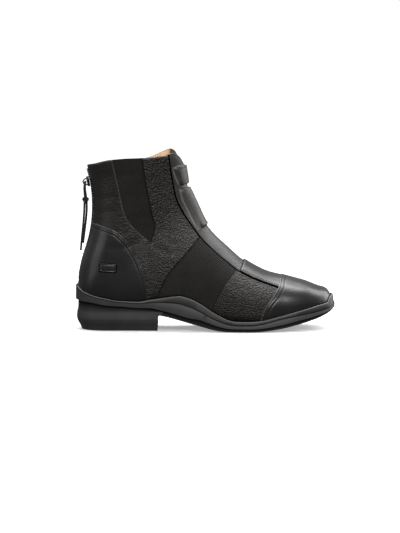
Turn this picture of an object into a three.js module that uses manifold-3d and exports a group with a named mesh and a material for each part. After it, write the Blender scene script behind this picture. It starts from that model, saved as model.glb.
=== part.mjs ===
// A right paddock boot of EU size 39, standing empty on its sole. Millimetres, +Z up, toe towards +X,
// outer side towards -Y. x is measured from the back of the sole while modelling, and the whole group is
// then moved so that the origin lies at the centre of the heel's flat underside.
import * as THREE from "three";
import { mergeVertices } from "three/addons/utils/BufferGeometryUtils.js";
import Module from "manifold-3d";

const wasm = await Module();
wasm.setup();

// Driving sizes
const LENGTH = 284; // back of the sole to the tip of the toe
const HEIGHT = 190; // floor to the highest point of the collar
const BALL_WIDTH = 95; // sole, across the ball of the foot
const HEEL_WIDTH = 68; // sole, across the heel
const COLLAR_WIDTH = 76; // shaft, across the collar
const HEEL_LIFT = 18; // floor to the underside of the sole over the heel block
const BREAST = 89.5; // back of the sole to the heel's front face
const SOLE_THICK = 8; // sole under the ball of the foot
const TOE_SPRING = 20; // rise of the underside at the toe's tip
const CUP = 10; // height of the rim above the seat of the foot
const SHELF = 2.6; // depth of the step under the rim
const TUCK = 6; // how far the sole's lower edge lies inside its rim
const GROOVE = 0.9; // depth and half width of the groove in the sole's side
const HEEL_ROUND = 6.6; // how far the heel's worn-round lower edge lies inside its rim
const BREAST_FILLET = 6; // radius between the heel's front face and the waist
const EDGE = 1.4; // height of the rounding of the sole's lower edge
const LIP = 1; // rounding of the rim's upper edge
const WALL = 2.8; // upper: leather and lining together
const SINK = 5; // how far the last's round bottom lies under the seat
const CLEAR = 0.3; // gap between pieces that meet
const OVERLAY = 1.1; // thickness of a leather piece laid over the upper
const INLAY = 1.0; // thickness of a piece laid in a pocket of the upper
const PAD = 2.1; // rise of the front pads above the upper
const INSOLE = 3; // thickness of the insole
const TAPE_WIDTH = 17; // zip tape
const COIL_WIDTH = 5; // closed zip coil
const COIL_RISE = 1.2; // zip coil above the upper
const COIL_TOP = 4; // collar's edge down to the coil's upper end
const STOP_HEIGHT = 2.4; // metal stop at the zip's lower end
const SLIDER_PLACE = 84.74; // floor to the middle of the slider, as a share of HEIGHT
const SLIDER_LONG = 11; // slider along the zip
const SLIDER_WIDE = 8.6; // slider across the zip
const SLIDER_THICK = 2.4; // slider's body
const BRIDGE_LONG = 8.4; // slider's bridge along the zip
const BRIDGE_RISE = 5; // slider's bridge above its body
const BRIDGE_BAR = 1.5; // thickness of the bridge
const BRIDGE_WIDE = 2.2; // bridge across the zip
const THONG = 2.4; // thickness of the pull's leather thong
const KNOT = 8.4; // width of the thong's knot
const STATIONS_TOE = 7; // sections of the round toe
const STATIONS = 18; // sections behind it
const RING = 24; // points of a section
const SOLE_STEPS = 32; // cross lines of the sole

const share = (percent, size) => (percent / 100) * size;

// A curve through rows that never overshoots them, for the lines of the sole.
function steadyCurve(xs, ys) {
  const slopes = xs.slice(1).map((x, i) => (ys[i + 1] - ys[i]) / (x - xs[i]));
  const ends = [slopes[0], ...slopes.slice(1).map((b, i) => steadySlope(slopes[i], b)), slopes.at(-1)];
  return (x) => hermite(xs, ys, ends, x);
}

function steadySlope(a, b) {
  return a * b <= 0 ? 0 : (2 * a * b) / (a + b);
}

function hermite(xs, ys, ends, x) {
  let i = 0;
  while (i < xs.length - 2 && x > xs[i + 1]) i += 1;
  const step = xs[i + 1] - xs[i];
  const t = (x - xs[i]) / step;
  const u = 1 - t;
  const rise = ys[i] * (1 + 2 * t) * u * u + ys[i + 1] * (3 - 2 * t) * t * t;
  return rise + step * (ends[i] * t * u * u - ends[i + 1] * t * t * u);
}

// A natural cubic spline through evenly spaced values, for the sections of the last.
function evenSpline(ys) {
  const n = ys.length;
  const bend = new Array(n).fill(0);
  const factor = new Array(n).fill(0);
  for (let i = 1; i < n - 1; i += 1) {
    const pivot = 4 - factor[i - 1];
    factor[i] = 1 / pivot;
    bend[i] = (6 * (ys[i + 1] - 2 * ys[i] + ys[i - 1]) - bend[i - 1]) / pivot;
  }
  for (let i = n - 2; i > 0; i -= 1) bend[i] -= factor[i] * bend[i + 1];
  return (s) => {
    const i = Math.min(Math.max(Math.floor(s), 0), n - 2);
    const t = s - i;
    const u = 1 - t;
    const curved = (u * u * u - u) * bend[i] + (t * t * t - t) * bend[i + 1];
    return u * ys[i] + t * ys[i + 1] + curved / 6;
  };
}

// The round end of an outline: 1 where it starts, 0 at its tip.
function roundEnd(fromStart, power) {
  const u = Math.min(Math.max(fromStart, 0), 1);
  return (1 - u ** power) ** (1 / power);
}

// Plan outline of the sole. Columns: place along LENGTH, half width as shares of half HEEL_WIDTH and of
// half BALL_WIDTH, and shift of the middle towards the inner side as a share of half BALL_WIDTH.
const OUTLINE = [
  // place, heel, ball, shift
  [0, 100, 0, 0],
  [12, 100, 0, 0],
  [25, 99, 0, -1],
  [34, 85, 11, -3],
  [43, 55, 35, -7],
  [52, 25, 65, -8],
  [62, 5, 92, -5],
  [70, 0, 100, -1],
  [80, 0, 94, 3],
  [90, 0, 88, 8],
  [100, 0, 82, 12],
];
const HEEL_END = 13; // share of LENGTH that the round back of the heel takes
const TOE_START = 80; // share of LENGTH where the round toe starts
const HEEL_POWER = 2.15;
const TOE_POWER = 2.3;

const outlineColumn = (column) => {
  const line = steadyCurve(
    OUTLINE.map((row) => row[0]),
    OUTLINE.map((row) => row[column]),
  );
  return (place) => line(place);
};
const heelShare = outlineColumn(1);
const ballShare = outlineColumn(2);
const shiftShare = outlineColumn(3);
const halfWidth = (place) =>
  share(heelShare(place), HEEL_WIDTH / 2) + share(ballShare(place), BALL_WIDTH / 2);
const middle = (place) => share(shiftShare(place), BALL_WIDTH / 2);

function outlinePoint(place, side) {
  const heel = roundEnd((HEEL_END - place) / HEEL_END, HEEL_POWER);
  const toe = roundEnd((place - TOE_START) / (100 - TOE_START), TOE_POWER);
  return new THREE.Vector2(share(place, LENGTH), middle(place) + side * halfWidth(place) * heel * toe);
}

// Side lines of the sole. Columns: place along LENGTH; lift of the underside as a share of HEEL_LIFT and
// of TOE_SPRING; seat above the underside as a share of SOLE_THICK; rim above the seat as a share of CUP;
// heights of the step and of the groove between underside and rim; depth of the step as a share of SHELF,
// of the groove as a share of GROOVE, and inset of the lower edge as a share of TUCK.
const SIDE = [
  // place, lift, spring, seat, rim, step, groove, shelf, cut, tuck
  [0, 100, 0, 112, 220, 47, 92, 100, 0, 60],
  [3, 100, 0, 112, 159, 54, 92, 100, 0, 60],
  [7, 100, 0, 112, 115, 60, 92, 100, 0, 60],
  [12, 100, 0, 112, 83, 57, 91, 100, 0, 60],
  [17, 100, 0, 110, 59, 60, 90, 100, 0, 60],
  [24, 100, 0, 101, 58, 52, 86, 100, 0, 60],
  [29, 96, 0, 101, 86, 46, 82, 100, 20, 80],
  [33, 89, 0, 101, 116, 34, 78, 95, 60, 100],
  [37, 74, 0, 114, 149, 27, 74, 85, 100, 100],
  [41, 57, 0, 121, 181, 23, 69, 75, 100, 100],
  [44, 44, 0, 124, 177, 24, 68, 60, 100, 95],
  [48, 28, 0, 122, 154, 31, 66, 35, 100, 85],
  [52, 12, 0, 121, 108, 33, 65, 12, 100, 70],
  [55.5, 3, 0, 117, 72, 33, 65, 0, 100, 60],
  [59, 0, 0, 105, 44, 33, 65, 0, 100, 55],
  [62, 0, 0, 98, 37, 33, 64, 0, 100, 50],
  [67, 0, 0, 94, 40, 33, 64, 0, 100, 50],
  [71, 0, 2, 92, 46, 33, 70, 0, 100, 50],
  [78, 0, 14, 90, 69, 33, 76, 0, 100, 50],
  [85, 0, 35, 84, 82, 33, 70, 0, 100, 50],
  [92, 0, 60, 77, 86, 30, 58, 0, 100, 50],
  [97.2, 0, 84, 62, 84, 28, 50, 0, 100, 50],
  [98.5, 0, 92, 58, 125, 24, 45, 0, 100, 50],
  [100, 0, 100, 55, 135, 24, 48, 0, 100, 55],
];
const sideColumn = (column) =>
  steadyCurve(
    SIDE.map((row) => row[0]),
    SIDE.map((row) => row[column]),
  );
const [liftShare, springShare, seatShare, rimShare, stepShare] = [1, 2, 3, 4, 5].map(sideColumn);
const [grooveShare, shelfShare, cutShare, tuckShare] = [6, 7, 8, 9].map(sideColumn);
const underside = (place) => share(liftShare(place), HEEL_LIFT) + share(springShare(place), TOE_SPRING);
const seat = (place) => underside(place) + share(seatShare(place), SOLE_THICK);
const rim = (place) => seat(place) + share(rimShare(place), CUP);
const between = (percent, place) => underside(place) + share(percent, rim(place) - underside(place));
const stepLine = (place) => between(stepShare(place), place);
const grooveLine = (place) => between(grooveShare(place), place);

// Sections of the last, from the toe's tip up to above the collar. Each is a plane figure on a line from
// the low or back point to the top or front point. Columns: top point along LENGTH and HEIGHT, low point
// along LENGTH, its rise above the last's bottom as a share of HEIGHT, half width as shares of the sole's
// own half width and of half COLLAR_WIDTH, widest place on the line on the outer and on the inner side,
// and the fullness of the upper and of the lower half (2 is an ellipse).
const LAST = [
  // topX, topZ, lowX, rise, foot, collar, outer, inner, topPower, lowPower
  [98.3, 22.6, 98.3, 0, 93, 0, 45, 46, 2.3, 3.0],
  [93.7, 23.7, 93.7, 0, 94, 0, 42, 45, 2.3, 3.1],
  [89.1, 26.4, 89.1, 0, 94, 0, 40, 45, 2.3, 3.3],
  [84.5, 28.4, 84.5, 0, 94.5, 0, 38, 44, 2.25, 3.4],
  [79.9, 30.3, 79.9, 0, 95, 0, 37, 43, 2.2, 3.5],
  [75.3, 31.9, 75.3, 0, 96.5, 0, 36, 42, 2.15, 3.5],
  [70.7, 34.7, 70.7, 0, 97.5, 0, 36, 42, 2.1, 3.5],
  [66.1, 38.6, 66.1, 0, 98, 0, 37, 43, 2.05, 3.5],
  [63.4, 41.4, 60.6, 0, 98.5, 0, 39, 45, 2.0, 3.4],
  [60.7, 45.0, 54.6, 0, 101, 0, 43, 48, 1.95, 3.2],
  [57.5, 49.4, 48.6, 0, 101, 0, 46, 50, 1.9, 3.0],
  [54.2, 53.9, 41.5, 0, 101, 0, 49, 51, 1.9, 2.7],
  [51.4, 58.6, 33.5, 0, 98, 0, 47, 48, 1.9, 2.8],
  [49.2, 63.2, 23.9, 0, 96, 0, 42, 44, 1.9, 3.6],
  [47.7, 67.9, 13.4, 0, 95, 0, 38, 39, 1.9, 4.1],
  [46.4, 72.2, 6.0, 1.2, 94, 0, 34, 35, 1.92, 3.3],
  [45.3, 75.6, 2.3, 6.2, 94, 0, 32, 33, 1.95, 3.0],
  [44.4, 78.6, 1.3, 14.7, 93, 1, 32, 32, 1.97, 2.4],
  [43.6, 81.4, 1.9, 23.2, 76, 16, 34, 34, 2.0, 2.25],
  [43.1, 84.2, 3.1, 30.5, 56, 34, 36, 36, 2.0, 2.2],
  [42.8, 87.1, 4.5, 36.9, 40, 49, 37, 37, 2.0, 2.2],
  [42.5, 89.7, 5.7, 43.7, 26, 62, 38, 38, 2.0, 2.2],
  [42.3, 92.1, 6.5, 51.0, 14, 74, 39, 39, 2.0, 2.2],
  [42.2, 94.3, 6.8, 58.9, 6, 83, 40, 40, 2.0, 2.2],
  [42.1, 96.5, 6.6, 66.3, 2, 89, 41, 41, 2.05, 2.2],
  [42.0, 98.9, 6.0, 73.2, 0, 93, 42, 42, 2.1, 2.2],
  [41.9, 101.4, 4.9, 79.6, 0, 96, 42, 42, 2.1, 2.2],
  [41.8, 104.2, 3.8, 85.6, 0, 98, 42, 42, 2.1, 2.2],
  [41.7, 107.4, 2.7, 91.5, 0, 100, 42, 42, 2.1, 2.2],
];
const TIP_HEIGHT = 14.7; // height of the last's tip, as a share of HEIGHT
const TIP_ROUND = 3.3; // length of the toe's round nose in side view, as a share of LENGTH
const NOSE_POWER = 2.2;

const last = LAST[0].map((_, column) => evenSpline(LAST.map((row) => row[column])));

// Point of the last's surface at section s and turn a: a is 0 at the low or back line, a quarter on the
// outer side, a half at the top or front line and three quarters on the inner side.
function lastPoint(s, a) {
  const [topX, topZ, lowX, rise, foot, collar, outer, inner, topPower, lowPower] = last.map((at) => at(s));
  const toe = roundEnd((lowX - TOE_START) / (LAST[0][0] - TOE_START), TOE_POWER);
  const nose = roundEnd((lowX - LAST[0][0] + TIP_ROUND) / TIP_ROUND, NOSE_POWER);
  const tip = share(TIP_HEIGHT, HEIGHT);
  const top = new THREE.Vector2(share(topX, LENGTH), tip + (share(topZ, HEIGHT) - tip) * nose);
  const bottom = seat(lowX) - SINK;
  const low = new THREE.Vector2(share(lowX, LENGTH), tip + (bottom - tip) * nose + share(rise, HEIGHT));
  const turn = a * 2 * Math.PI;
  const along = Math.cos(turn);
  const across = Math.sin(turn);
  const power = along > 0 ? lowPower : topPower;
  const reach = (Math.abs(along) ** power + Math.abs(across) ** power) ** (-1 / power);
  const widest = (across > 0 ? outer : inner) / 100;
  const t = along > 0 ? widest * (1 - reach * along) : widest - (1 - widest) * reach * along;
  const half = (share(foot, halfWidth(lowX)) + share(collar, COLLAR_WIDTH / 2)) * toe;
  const point = low.lerp(top, t);
  return new THREE.Vector3(point.x, middle(lowX) - half * reach * across, point.y);
}

// The same point, moved out along the surface's normal.
function offsetPoint(s, a, offset) {
  const point = lastPoint(s, a);
  const back = Math.max(s - 0.03, 0.002);
  const along = lastPoint(s + 0.03, a).sub(lastPoint(back, a));
  const around = lastPoint(s, a + 0.004).sub(lastPoint(s, a - 0.004));
  return point.addScaledVector(along.cross(around).normalize(), -offset);
}

function solid(vertices, faces) {
  return new wasm.Manifold(
    new wasm.Mesh({
      numProp: 3,
      vertProperties: Float32Array.from(vertices.flatMap((v) => [v.x, v.y, v.z])),
      triVerts: Uint32Array.from(faces.flat()),
    }),
  );
}

function solidOf(geometry) {
  const bare = geometry.clone();
  bare.deleteAttribute("normal");
  bare.deleteAttribute("uv");
  const merged = mergeVertices(bare, 1e-4);
  return new wasm.Manifold(
    new wasm.Mesh({
      numProp: 3,
      vertProperties: merged.attributes.position.array,
      triVerts: Uint32Array.from(merged.index.array),
    }),
  );
}

// Rings of equal count joined into a closed solid, with a fan from a point at each end.
function closedTube(rings, firstPoint, lastPointOfAll) {
  const count = rings[0].length;
  const vertices = [...rings.flat(), firstPoint, lastPointOfAll];
  const first = vertices.length - 2;
  const end = vertices.length - 1;
  const faces = [];
  for (let j = 0; j < count; j += 1) {
    const k = (j + 1) % count;
    faces.push([first, k, j]);
    for (let i = 0; i < rings.length - 1; i += 1) {
      const [a, b] = [i * count + j, i * count + k];
      faces.push([a, b, b + count], [a, b + count, a + count]);
    }
    const top = (rings.length - 1) * count;
    faces.push([end, top + j, top + k]);
  }
  return solid(vertices, faces);
}

// The whole last, grown or shrunk by an offset, closed at the toe and above the collar.
const TOE_ROWS = 3;
const stations = [
  ...Array.from({ length: STATIONS_TOE }, (_, i) =>
    TOE_ROWS * (1 - Math.cos(((i + 1) / STATIONS_TOE) * (Math.PI / 2)))),
  ...Array.from({ length: STATIONS }, (_, i) =>
    TOE_ROWS + ((i + 1) / STATIONS) * (LAST.length - 1 - TOE_ROWS)),
];

function form(offset) {
  const rings = stations.map((s) =>
    Array.from({ length: RING }, (_, j) => offsetPoint(s, j / RING, offset)),
  );
  const tip = lastPoint(0, 0).add(new THREE.Vector3(offset, 0, 0));
  const middleOf = rings.at(-1).reduce((sum, p) => sum.add(p), new THREE.Vector3()).divideScalar(RING);
  return closedTube(rings, tip, middleOf);
}

// A side-view outline pushed through the boot from y = from to y = to.
const WIDE = 90;
function sidePrism(points, from = -WIDE, to = WIDE) {
  const shape = new THREE.Shape(points);
  const geometry = new THREE.ExtrudeGeometry(shape, { depth: to - from, bevelEnabled: false });
  return solidOf(geometry.rotateX(Math.PI / 2).translate(0, to, 0));
}

const at = (x, z) => new THREE.Vector2(share(x, LENGTH), share(z, HEIGHT));
const line = (rows, steps = 24) => new THREE.SplineCurve(rows.map(([x, z]) => at(x, z))).getPoints(steps);
const shifted = (points, dx, dz) => points.map((p) => new THREE.Vector2(p.x + dx, p.y + dz));
const LOW = -40; // below everything
const HIGH = 125; // above everything, as a share of HEIGHT

// Everything under a height that follows the sole's own lines.
function below(height) {
  const places = Array.from({ length: SOLE_STEPS + 1 }, (_, i) => -3 + (i / SOLE_STEPS) * 106);
  const top = places.map((place) => {
    const inside = Math.min(Math.max(place, 0), 100);
    return new THREE.Vector2(share(place, LENGTH), height(inside));
  });
  return sidePrism([...top, new THREE.Vector2(top.at(-1).x, LOW), new THREE.Vector2(top[0].x, LOW)]);
}

// Rings of the sole's outline, each with its own inset and height along the boot.
function soleRing(inset, height) {
  const places = Array.from({ length: SOLE_STEPS - 1 }, (_, i) =>
    50 * (1 - Math.cos(((i + 1) / SOLE_STEPS) * Math.PI)),
  );
  const edge = (place, side) => {
    const step = 0.05;
    const before = outlinePoint(Math.max(place - step, 0), side);
    const after = outlinePoint(Math.min(place + step, 100), side);
    const along = after.sub(before).normalize();
    const point = outlinePoint(place, side);
    const into = new THREE.Vector2(-along.y, along.x).multiplyScalar(-side * inset(place));
    return new THREE.Vector3(point.x + into.x, point.y + into.y, height(place));
  };
  const heel = new THREE.Vector3(inset(0), middle(0), height(0));
  const toe = new THREE.Vector3(LENGTH - inset(100), middle(100), height(100));
  const outer = places.map((place) => edge(place, -1));
  const inner = places.map((place) => edge(place, 1)).reverse();
  return [heel, ...outer, toe, ...inner];
}

function soleStack(rings) {
  const count = rings[0].length;
  const faces = [];
  for (let i = 0; i < rings.length - 1; i += 1) {
    for (let j = 0; j < count; j += 1) {
      const k = (j + 1) % count;
      const [a, b] = [i * count + j, i * count + k];
      faces.push([a, b, b + count], [a, b + count, a + count]);
    }
  }
  const top = (rings.length - 1) * count;
  for (let j = 0; j < count / 2; j += 1) {
    const [a, b] = [j, j + 1];
    const [c, d] = [(count - j) % count, count - j - 1];
    if (j > 0) faces.push([a, c, b], [top + a, top + b, top + c]);
    if (b !== d) faces.push([c, d, b], [top + c, top + b, top + d]);
  }
  return solid(rings.flat(), faces);
}

// Named forms of the last that the pieces are cut from
const skin = form(0);
const lining = form(-WALL);
const skinClear = form(CLEAR);
const overlayTop = form(CLEAR + OVERLAY);
const overlayClear = form(2 * CLEAR + OVERLAY);

// Side-view outlines of the leather pieces, as shares of LENGTH and HEIGHT
const CAP_SEAM = [
  [80.0, 38], [79.1, 31.6], [78.3, 28.9], [77.5, 24.8], [75.5, 20.3], [72.6, 14.5], [70.6, 7], [69.8, -2],
];
const COUNTER_EDGE = [
  [-4, 62.5], [6.4, 61.3], [11.3, 59.6], [16, 56.9], [19.1, 53.1], [21.4, 49.2], [24, 43], [25.9, 36.2],
  [27.8, 27.7], [28.7, 18.6], [29, 4],
];
const QUARTER_EDGE = [
  [35.7, 112], [36.0, 99.4], [37.3, 85.7], [38.9, 74.5], [41.8, 66], [45.2, 58.6], [48.7, 51.8],
  [53.6, 44.9], [57.8, 39.8], [62.4, 34.6], [66.9, 30.9], [71.5, 28], [79, 24],
];
const VAMP_STEP = [[65.6, 44], [64.9, 40.6], [64.1, 37], [62.4, 32]];
const BAND_BACK = [[54, 60], [47.9, 53.5], [43.3, 45.3], [37.3, 35.3], [33.9, 27.4], [31.9, 19.2], [31, 8]];
const BAND_FRONT = [[51.4, 2], [52.8, 13.4], [54.7, 19.7], [57.7, 27.9], [61.8, 34.9], [66, 41]];
const GORE_BACK = [[14, 103], [14.8, 97.3], [17, 82.6], [20.3, 64], [28.6, 51.1]];
const GORE_FRONT = [[29.4, 51.1], [30.9, 59], [29.8, 66.4], [27.6, 83.3], [26.1, 98.7], [25.7, 103]];
const COLLAR = [
  [-4, 92.5], [4.3, 94], [11.7, 96.6], [14.8, 97.3], [26.1, 98.8], [33, 99.8], [36.4, 100], [38.4, 99.2],
  [40.2, 97.4], [41.8, 94.8], [43.4, 91.8], [48, 86],
];
const PAD_TOP = [[37.9, 92.6], [45.4, 95], [47, 84.6], [40.3, 82.2], [39.2, 86.8]];
const PAD_LOW = [
  [40.7, 80.4], [47.2, 82.6], [56, 64], [50.4, 59.6], [47.3, 56.6], [45.1, 64], [41.9, 73.6],
];


// Corners of the cutters, clear of the boot. A cutter's corner keeps the height of the seam's end beside it.
const AHEAD = 112; // in front of the toe, as a share of LENGTH
const BEHIND = -8; // behind the heel, as a share of LENGTH
const PANEL_FOOT = 20; // under the front panel at the toe, as a share of HEIGHT
const STEP_FOOT = 8; // under the step's leather at the toe, as a share of HEIGHT
const [capTop, capFoot] = [CAP_SEAM[0][1], CAP_SEAM.at(-1)[1]];
const [counterTop, counterFoot] = [COUNTER_EDGE[0][1], COUNTER_EDGE.at(-1)[1]];
const capCutter = (grow) =>
  sidePrism([...shifted(line(CAP_SEAM), -grow, 0), at(AHEAD, capFoot), at(AHEAD, capTop)]);
const counterCutter = (grow) =>
  sidePrism([...shifted(line(COUNTER_EDGE), grow, grow), at(BEHIND, counterFoot), at(BEHIND, counterTop)]);
const frontCutter = (grow) =>
  sidePrism([
    ...shifted(line(QUARTER_EDGE, 30), -grow, -grow), at(AHEAD, PANEL_FOOT), at(AHEAD, QUARTER_EDGE[0][1]),
  ]);
const vampCutter = (grow) =>
  sidePrism([...shifted(line(VAMP_STEP), -grow, 0), at(AHEAD, STEP_FOOT), at(AHEAD, VAMP_STEP[0][1])]);
const bandCutter = (grow) =>
  sidePrism([...shifted(line(BAND_BACK), -grow, grow), ...shifted(line(BAND_FRONT), grow, -grow)]);
const goreCutter = (grow) =>
  sidePrism([...shifted(line(GORE_BACK), -grow, -grow), ...shifted(line(GORE_FRONT), grow, -grow)]);
const SHAFT_AHEAD = 60; // in front of the shaft, as a share of LENGTH
const padCutter = (rows) => sidePrism(rows.map(([x, z]) => at(x, z)));
const aboveCollar = (drop) =>
  sidePrism([...shifted(line(COLLAR, 36), 0, -drop), at(SHAFT_AHEAD, HIGH), at(BEHIND, HIGH)]);

// A box through the boot, for halves and for the zip's strip down the back
function box(from, to) {
  const size = new THREE.Vector3().subVectors(to, from);
  const centre = new THREE.Vector3().addVectors(from, to).multiplyScalar(0.5);
  return solidOf(new THREE.BoxGeometry(size.x, size.y, size.z).translate(centre.x, centre.y, centre.z));
}

const top = share(HIGH, HEIGHT);
const outerHalf = box(
  new THREE.Vector3(LOW, -WIDE, LOW), new THREE.Vector3(LENGTH - LOW, -CLEAR / 2, top));
const innerHalf = box(
  new THREE.Vector3(LOW, CLEAR / 2, LOW), new THREE.Vector3(LENGTH - LOW, WIDE, top));
const ZIP_FOOT = 27.4; // lower end of the zip, as a share of HEIGHT
const BACK_REACH = 12; // far enough forward to take in the whole back line, as a share of LENGTH
const backStrip = (width, foot) =>
  box(
    new THREE.Vector3(LOW, -width / 2, foot),
    new THREE.Vector3(share(BACK_REACH, LENGTH), width / 2, top),
  );

// Sole
const flat = (value) => () => value;
const HEEL_PROFILE = [
  // height as a share of HEEL_LIFT, inset as a share of HEEL_ROUND
  [0, 100], [10, 88], [28, 66], [48, 34], [72, 16], [110, 22],
];
const fromStep = (drop) => (place) => stepLine(place) - drop;
const shelfInset = (percent) => (place) => share(percent, share(shelfShare(place), SHELF));
const tuckInset = (percent) => (place) => share(percent, share(tuckShare(place), TUCK));
const grooveInset = (place) => share(cutShare(place), GROOVE);
const toeLean = steadyCurve([0, 96, 98.5, 100], [0, 0, 1.6, 2.2]); // the bumper leans back onto the toe

// Everything behind the heel's front face, which rounds into the waist at its top
function behindBreast() {
  const top = underside((100 * BREAST) / LENGTH);
  const corners = 5;
  const round = Array.from({ length: corners + 1 }, (_, i) => {
    const turn = ((i / corners) * Math.PI) / 2;
    return new THREE.Vector2(
      BREAST + BREAST_FILLET * (1 - Math.cos(turn)),
      top - BREAST_FILLET * (1 - Math.sin(turn)),
    );
  });
  const far = new THREE.Vector2(round.at(-1).x, HEIGHT);
  return sidePrism([new THREE.Vector2(BREAST, LOW), ...round, far, new THREE.Vector2(LOW, HEIGHT),
    new THREE.Vector2(LOW, LOW)]);
}

const body = soleStack([
  soleRing(tuckInset(100), underside),
  soleRing(tuckInset(62), (place) => underside(place) + EDGE),
  soleRing((place) => Math.max(shelfInset(105)(place), tuckInset(18)(place)), fromStep(0.9)),
  soleRing(shelfInset(15), stepLine),
  soleRing(flat(0), (place) => grooveLine(place) - GROOVE),
  soleRing(grooveInset, grooveLine),
  soleRing((place) => 0.4 * toeLean(place), (place) => grooveLine(place) + GROOVE),
  soleRing((place) => 0.15 + 0.8 * toeLean(place), (place) => rim(place) - LIP),
  soleRing((place) => LIP + toeLean(place), rim),
]);
const heelRings = HEEL_PROFILE.map(([height, inset]) =>
  soleRing(flat(share(inset, HEEL_ROUND)), flat(share(height, HEEL_LIFT))),
);
const heelStack = soleStack([...heelRings, soleRing(shelfInset(103), fromStep(0.95))]);
const heelBlock = heelStack.intersect(behindBreast());
const footRoom = skinClear
  .add(overlayClear.intersect(capCutter(CLEAR)))
  .add(overlayClear.intersect(counterCutter(CLEAR)))
  .subtract(below(seat));
const sole = body.add(heelBlock).subtract(footRoom);

// Upper and what is let into it
const insideCollar = aboveCollar(0);
const pocketDepth = INLAY + 1.5 * CLEAR;
const pocketFloor = form(-pocketDepth);
const inlayBottom = form(-pocketDepth + CLEAR);
const inlayTop = form(-CLEAR / 2);
const inlay = inlayTop.subtract(inlayBottom);
const pocketSkin = form(1).subtract(pocketFloor);
const frontRegion = frontCutter(0).subtract(vampCutter(0));
const zipFoot = share(ZIP_FOOT, HEIGHT);
const zipRoom = backStrip(TAPE_WIDTH + 2 * CLEAR, zipFoot - CLEAR);
const pockets = frontRegion
  .add(bandCutter(0).subtract(frontCutter(0)))
  .add(goreCutter(0))
  .add(zipRoom);
const intoCup = below((place) => seat(place) + CLEAR);
const upper = skin
  .subtract(lining)
  .subtract(intoCup)
  .subtract(insideCollar)
  .subtract(pocketSkin.intersect(pockets));
const insole = form(-WALL - CLEAR)
  .subtract(intoCup)
  .intersect(below((place) => seat(place) + CLEAR + INSOLE));

// Leather laid over the upper
const overlay = overlayTop.subtract(skinClear).subtract(intoCup);
const toeCap = overlay.intersect(capCutter(0));
const vampFront = overlay.intersect(frontCutter(0)).intersect(vampCutter(0)).subtract(capCutter(CLEAR));
const counter = overlay
  .intersect(counterCutter(0))
  .subtract(backStrip(TAPE_WIDTH + 2 * CLEAR, zipFoot - CLEAR));
const padForm = form(PAD).subtract(form(CLEAR / 2));

// Pieces let into the upper's pockets
const frontPanel = inlay
  .intersect(frontCutter(-CLEAR))
  .subtract(vampCutter(CLEAR))
  .subtract(insideCollar);
const gore = inlay.intersect(goreCutter(-CLEAR)).subtract(insideCollar);
const band = inlay
  .intersect(bandCutter(-CLEAR))
  .subtract(frontCutter(CLEAR))
  .subtract(intoCup);
const tape = inlay.intersect(backStrip(TAPE_WIDTH, zipFoot)).subtract(insideCollar);
const coilForm = form(COIL_RISE).subtract(form(CLEAR / 2));
const coilFoot = zipFoot + STOP_HEIGHT + CLEAR;
const coil = coilForm.intersect(backStrip(COIL_WIDTH, coilFoot)).subtract(aboveCollar(COIL_TOP));
const stop = coilForm
  .intersect(backStrip(COIL_WIDTH, zipFoot))
  .intersect(below(flat(zipFoot + STOP_HEIGHT)));

// The back line of the last at a height, for what hangs there
function backLine(height) {
  let [low, high] = [16, LAST.length - 1];
  for (let i = 0; i < 40; i += 1) {
    const s = (low + high) / 2;
    if (lastPoint(s, 0).z < height) low = s;
    else high = s;
  }
  return lastPoint(low, 0).x;
}

// Slider: a body with shoulders, and a bridge that the thong runs through. Drawn with its coil side at
// x = 0, the way out of the boot towards -x, y across the zip and z along it.
const EYE = BRIDGE_RISE - BRIDGE_BAR; // far side of the bridge's eye
function sliderSolid() {
  const half = SLIDER_WIDE / 2;
  const end = SLIDER_LONG / 2;
  const outline = new THREE.Shape();
  outline.moveTo(-half * 0.55, -end);
  outline.lineTo(half * 0.55, -end);
  outline.quadraticCurveTo(half * 0.8, -end * 0.2, half, end * 0.3);
  outline.quadraticCurveTo(half, end, half * 0.45, end);
  outline.lineTo(-half * 0.45, end);
  outline.quadraticCurveTo(-half, end, -half, end * 0.3);
  outline.quadraticCurveTo(-half * 0.8, -end * 0.2, -half * 0.55, -end);
  const plate = new THREE.ExtrudeGeometry(outline, {
    depth: SLIDER_THICK, bevelEnabled: false, curveSegments: 4,
  });
  plate.applyMatrix4(basis([0, 1, 0], [0, 0, 1], [1, 0, 0])).translate(-SLIDER_THICK, 0, 0);
  const reach = BRIDGE_LONG / 2;
  const arch = halfLoop(-SLIDER_THICK / 2, BRIDGE_RISE, reach, new THREE.Shape());
  arch.holes.push(halfLoop(CLEAR, EYE, reach - BRIDGE_BAR, new THREE.Path()));
  const bridge = new THREE.ExtrudeGeometry(arch, {
    depth: BRIDGE_WIDE, bevelEnabled: false, curveSegments: 5,
  });
  bridge.translate(0, 0, -BRIDGE_WIDE / 2).applyMatrix4(basis([-1, 0, 0], [0, 0, 1], [0, 1, 0]));
  bridge.translate(-SLIDER_THICK, 0, 0);
  return [plate, bridge].map((geometry) => solidOf(geometry.applyMatrix4(sliderPlace())));
}

function basis(x, y, z) {
  return new THREE.Matrix4().makeBasis(...[x, y, z].map((axis) => new THREE.Vector3(...axis)));
}

function halfLoop(near, far, reach, path) {
  path.moveTo(near, -reach);
  path.quadraticCurveTo(far, -reach, far, 0);
  path.quadraticCurveTo(far, reach, near, reach);
  path.closePath();
  return path;
}

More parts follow.
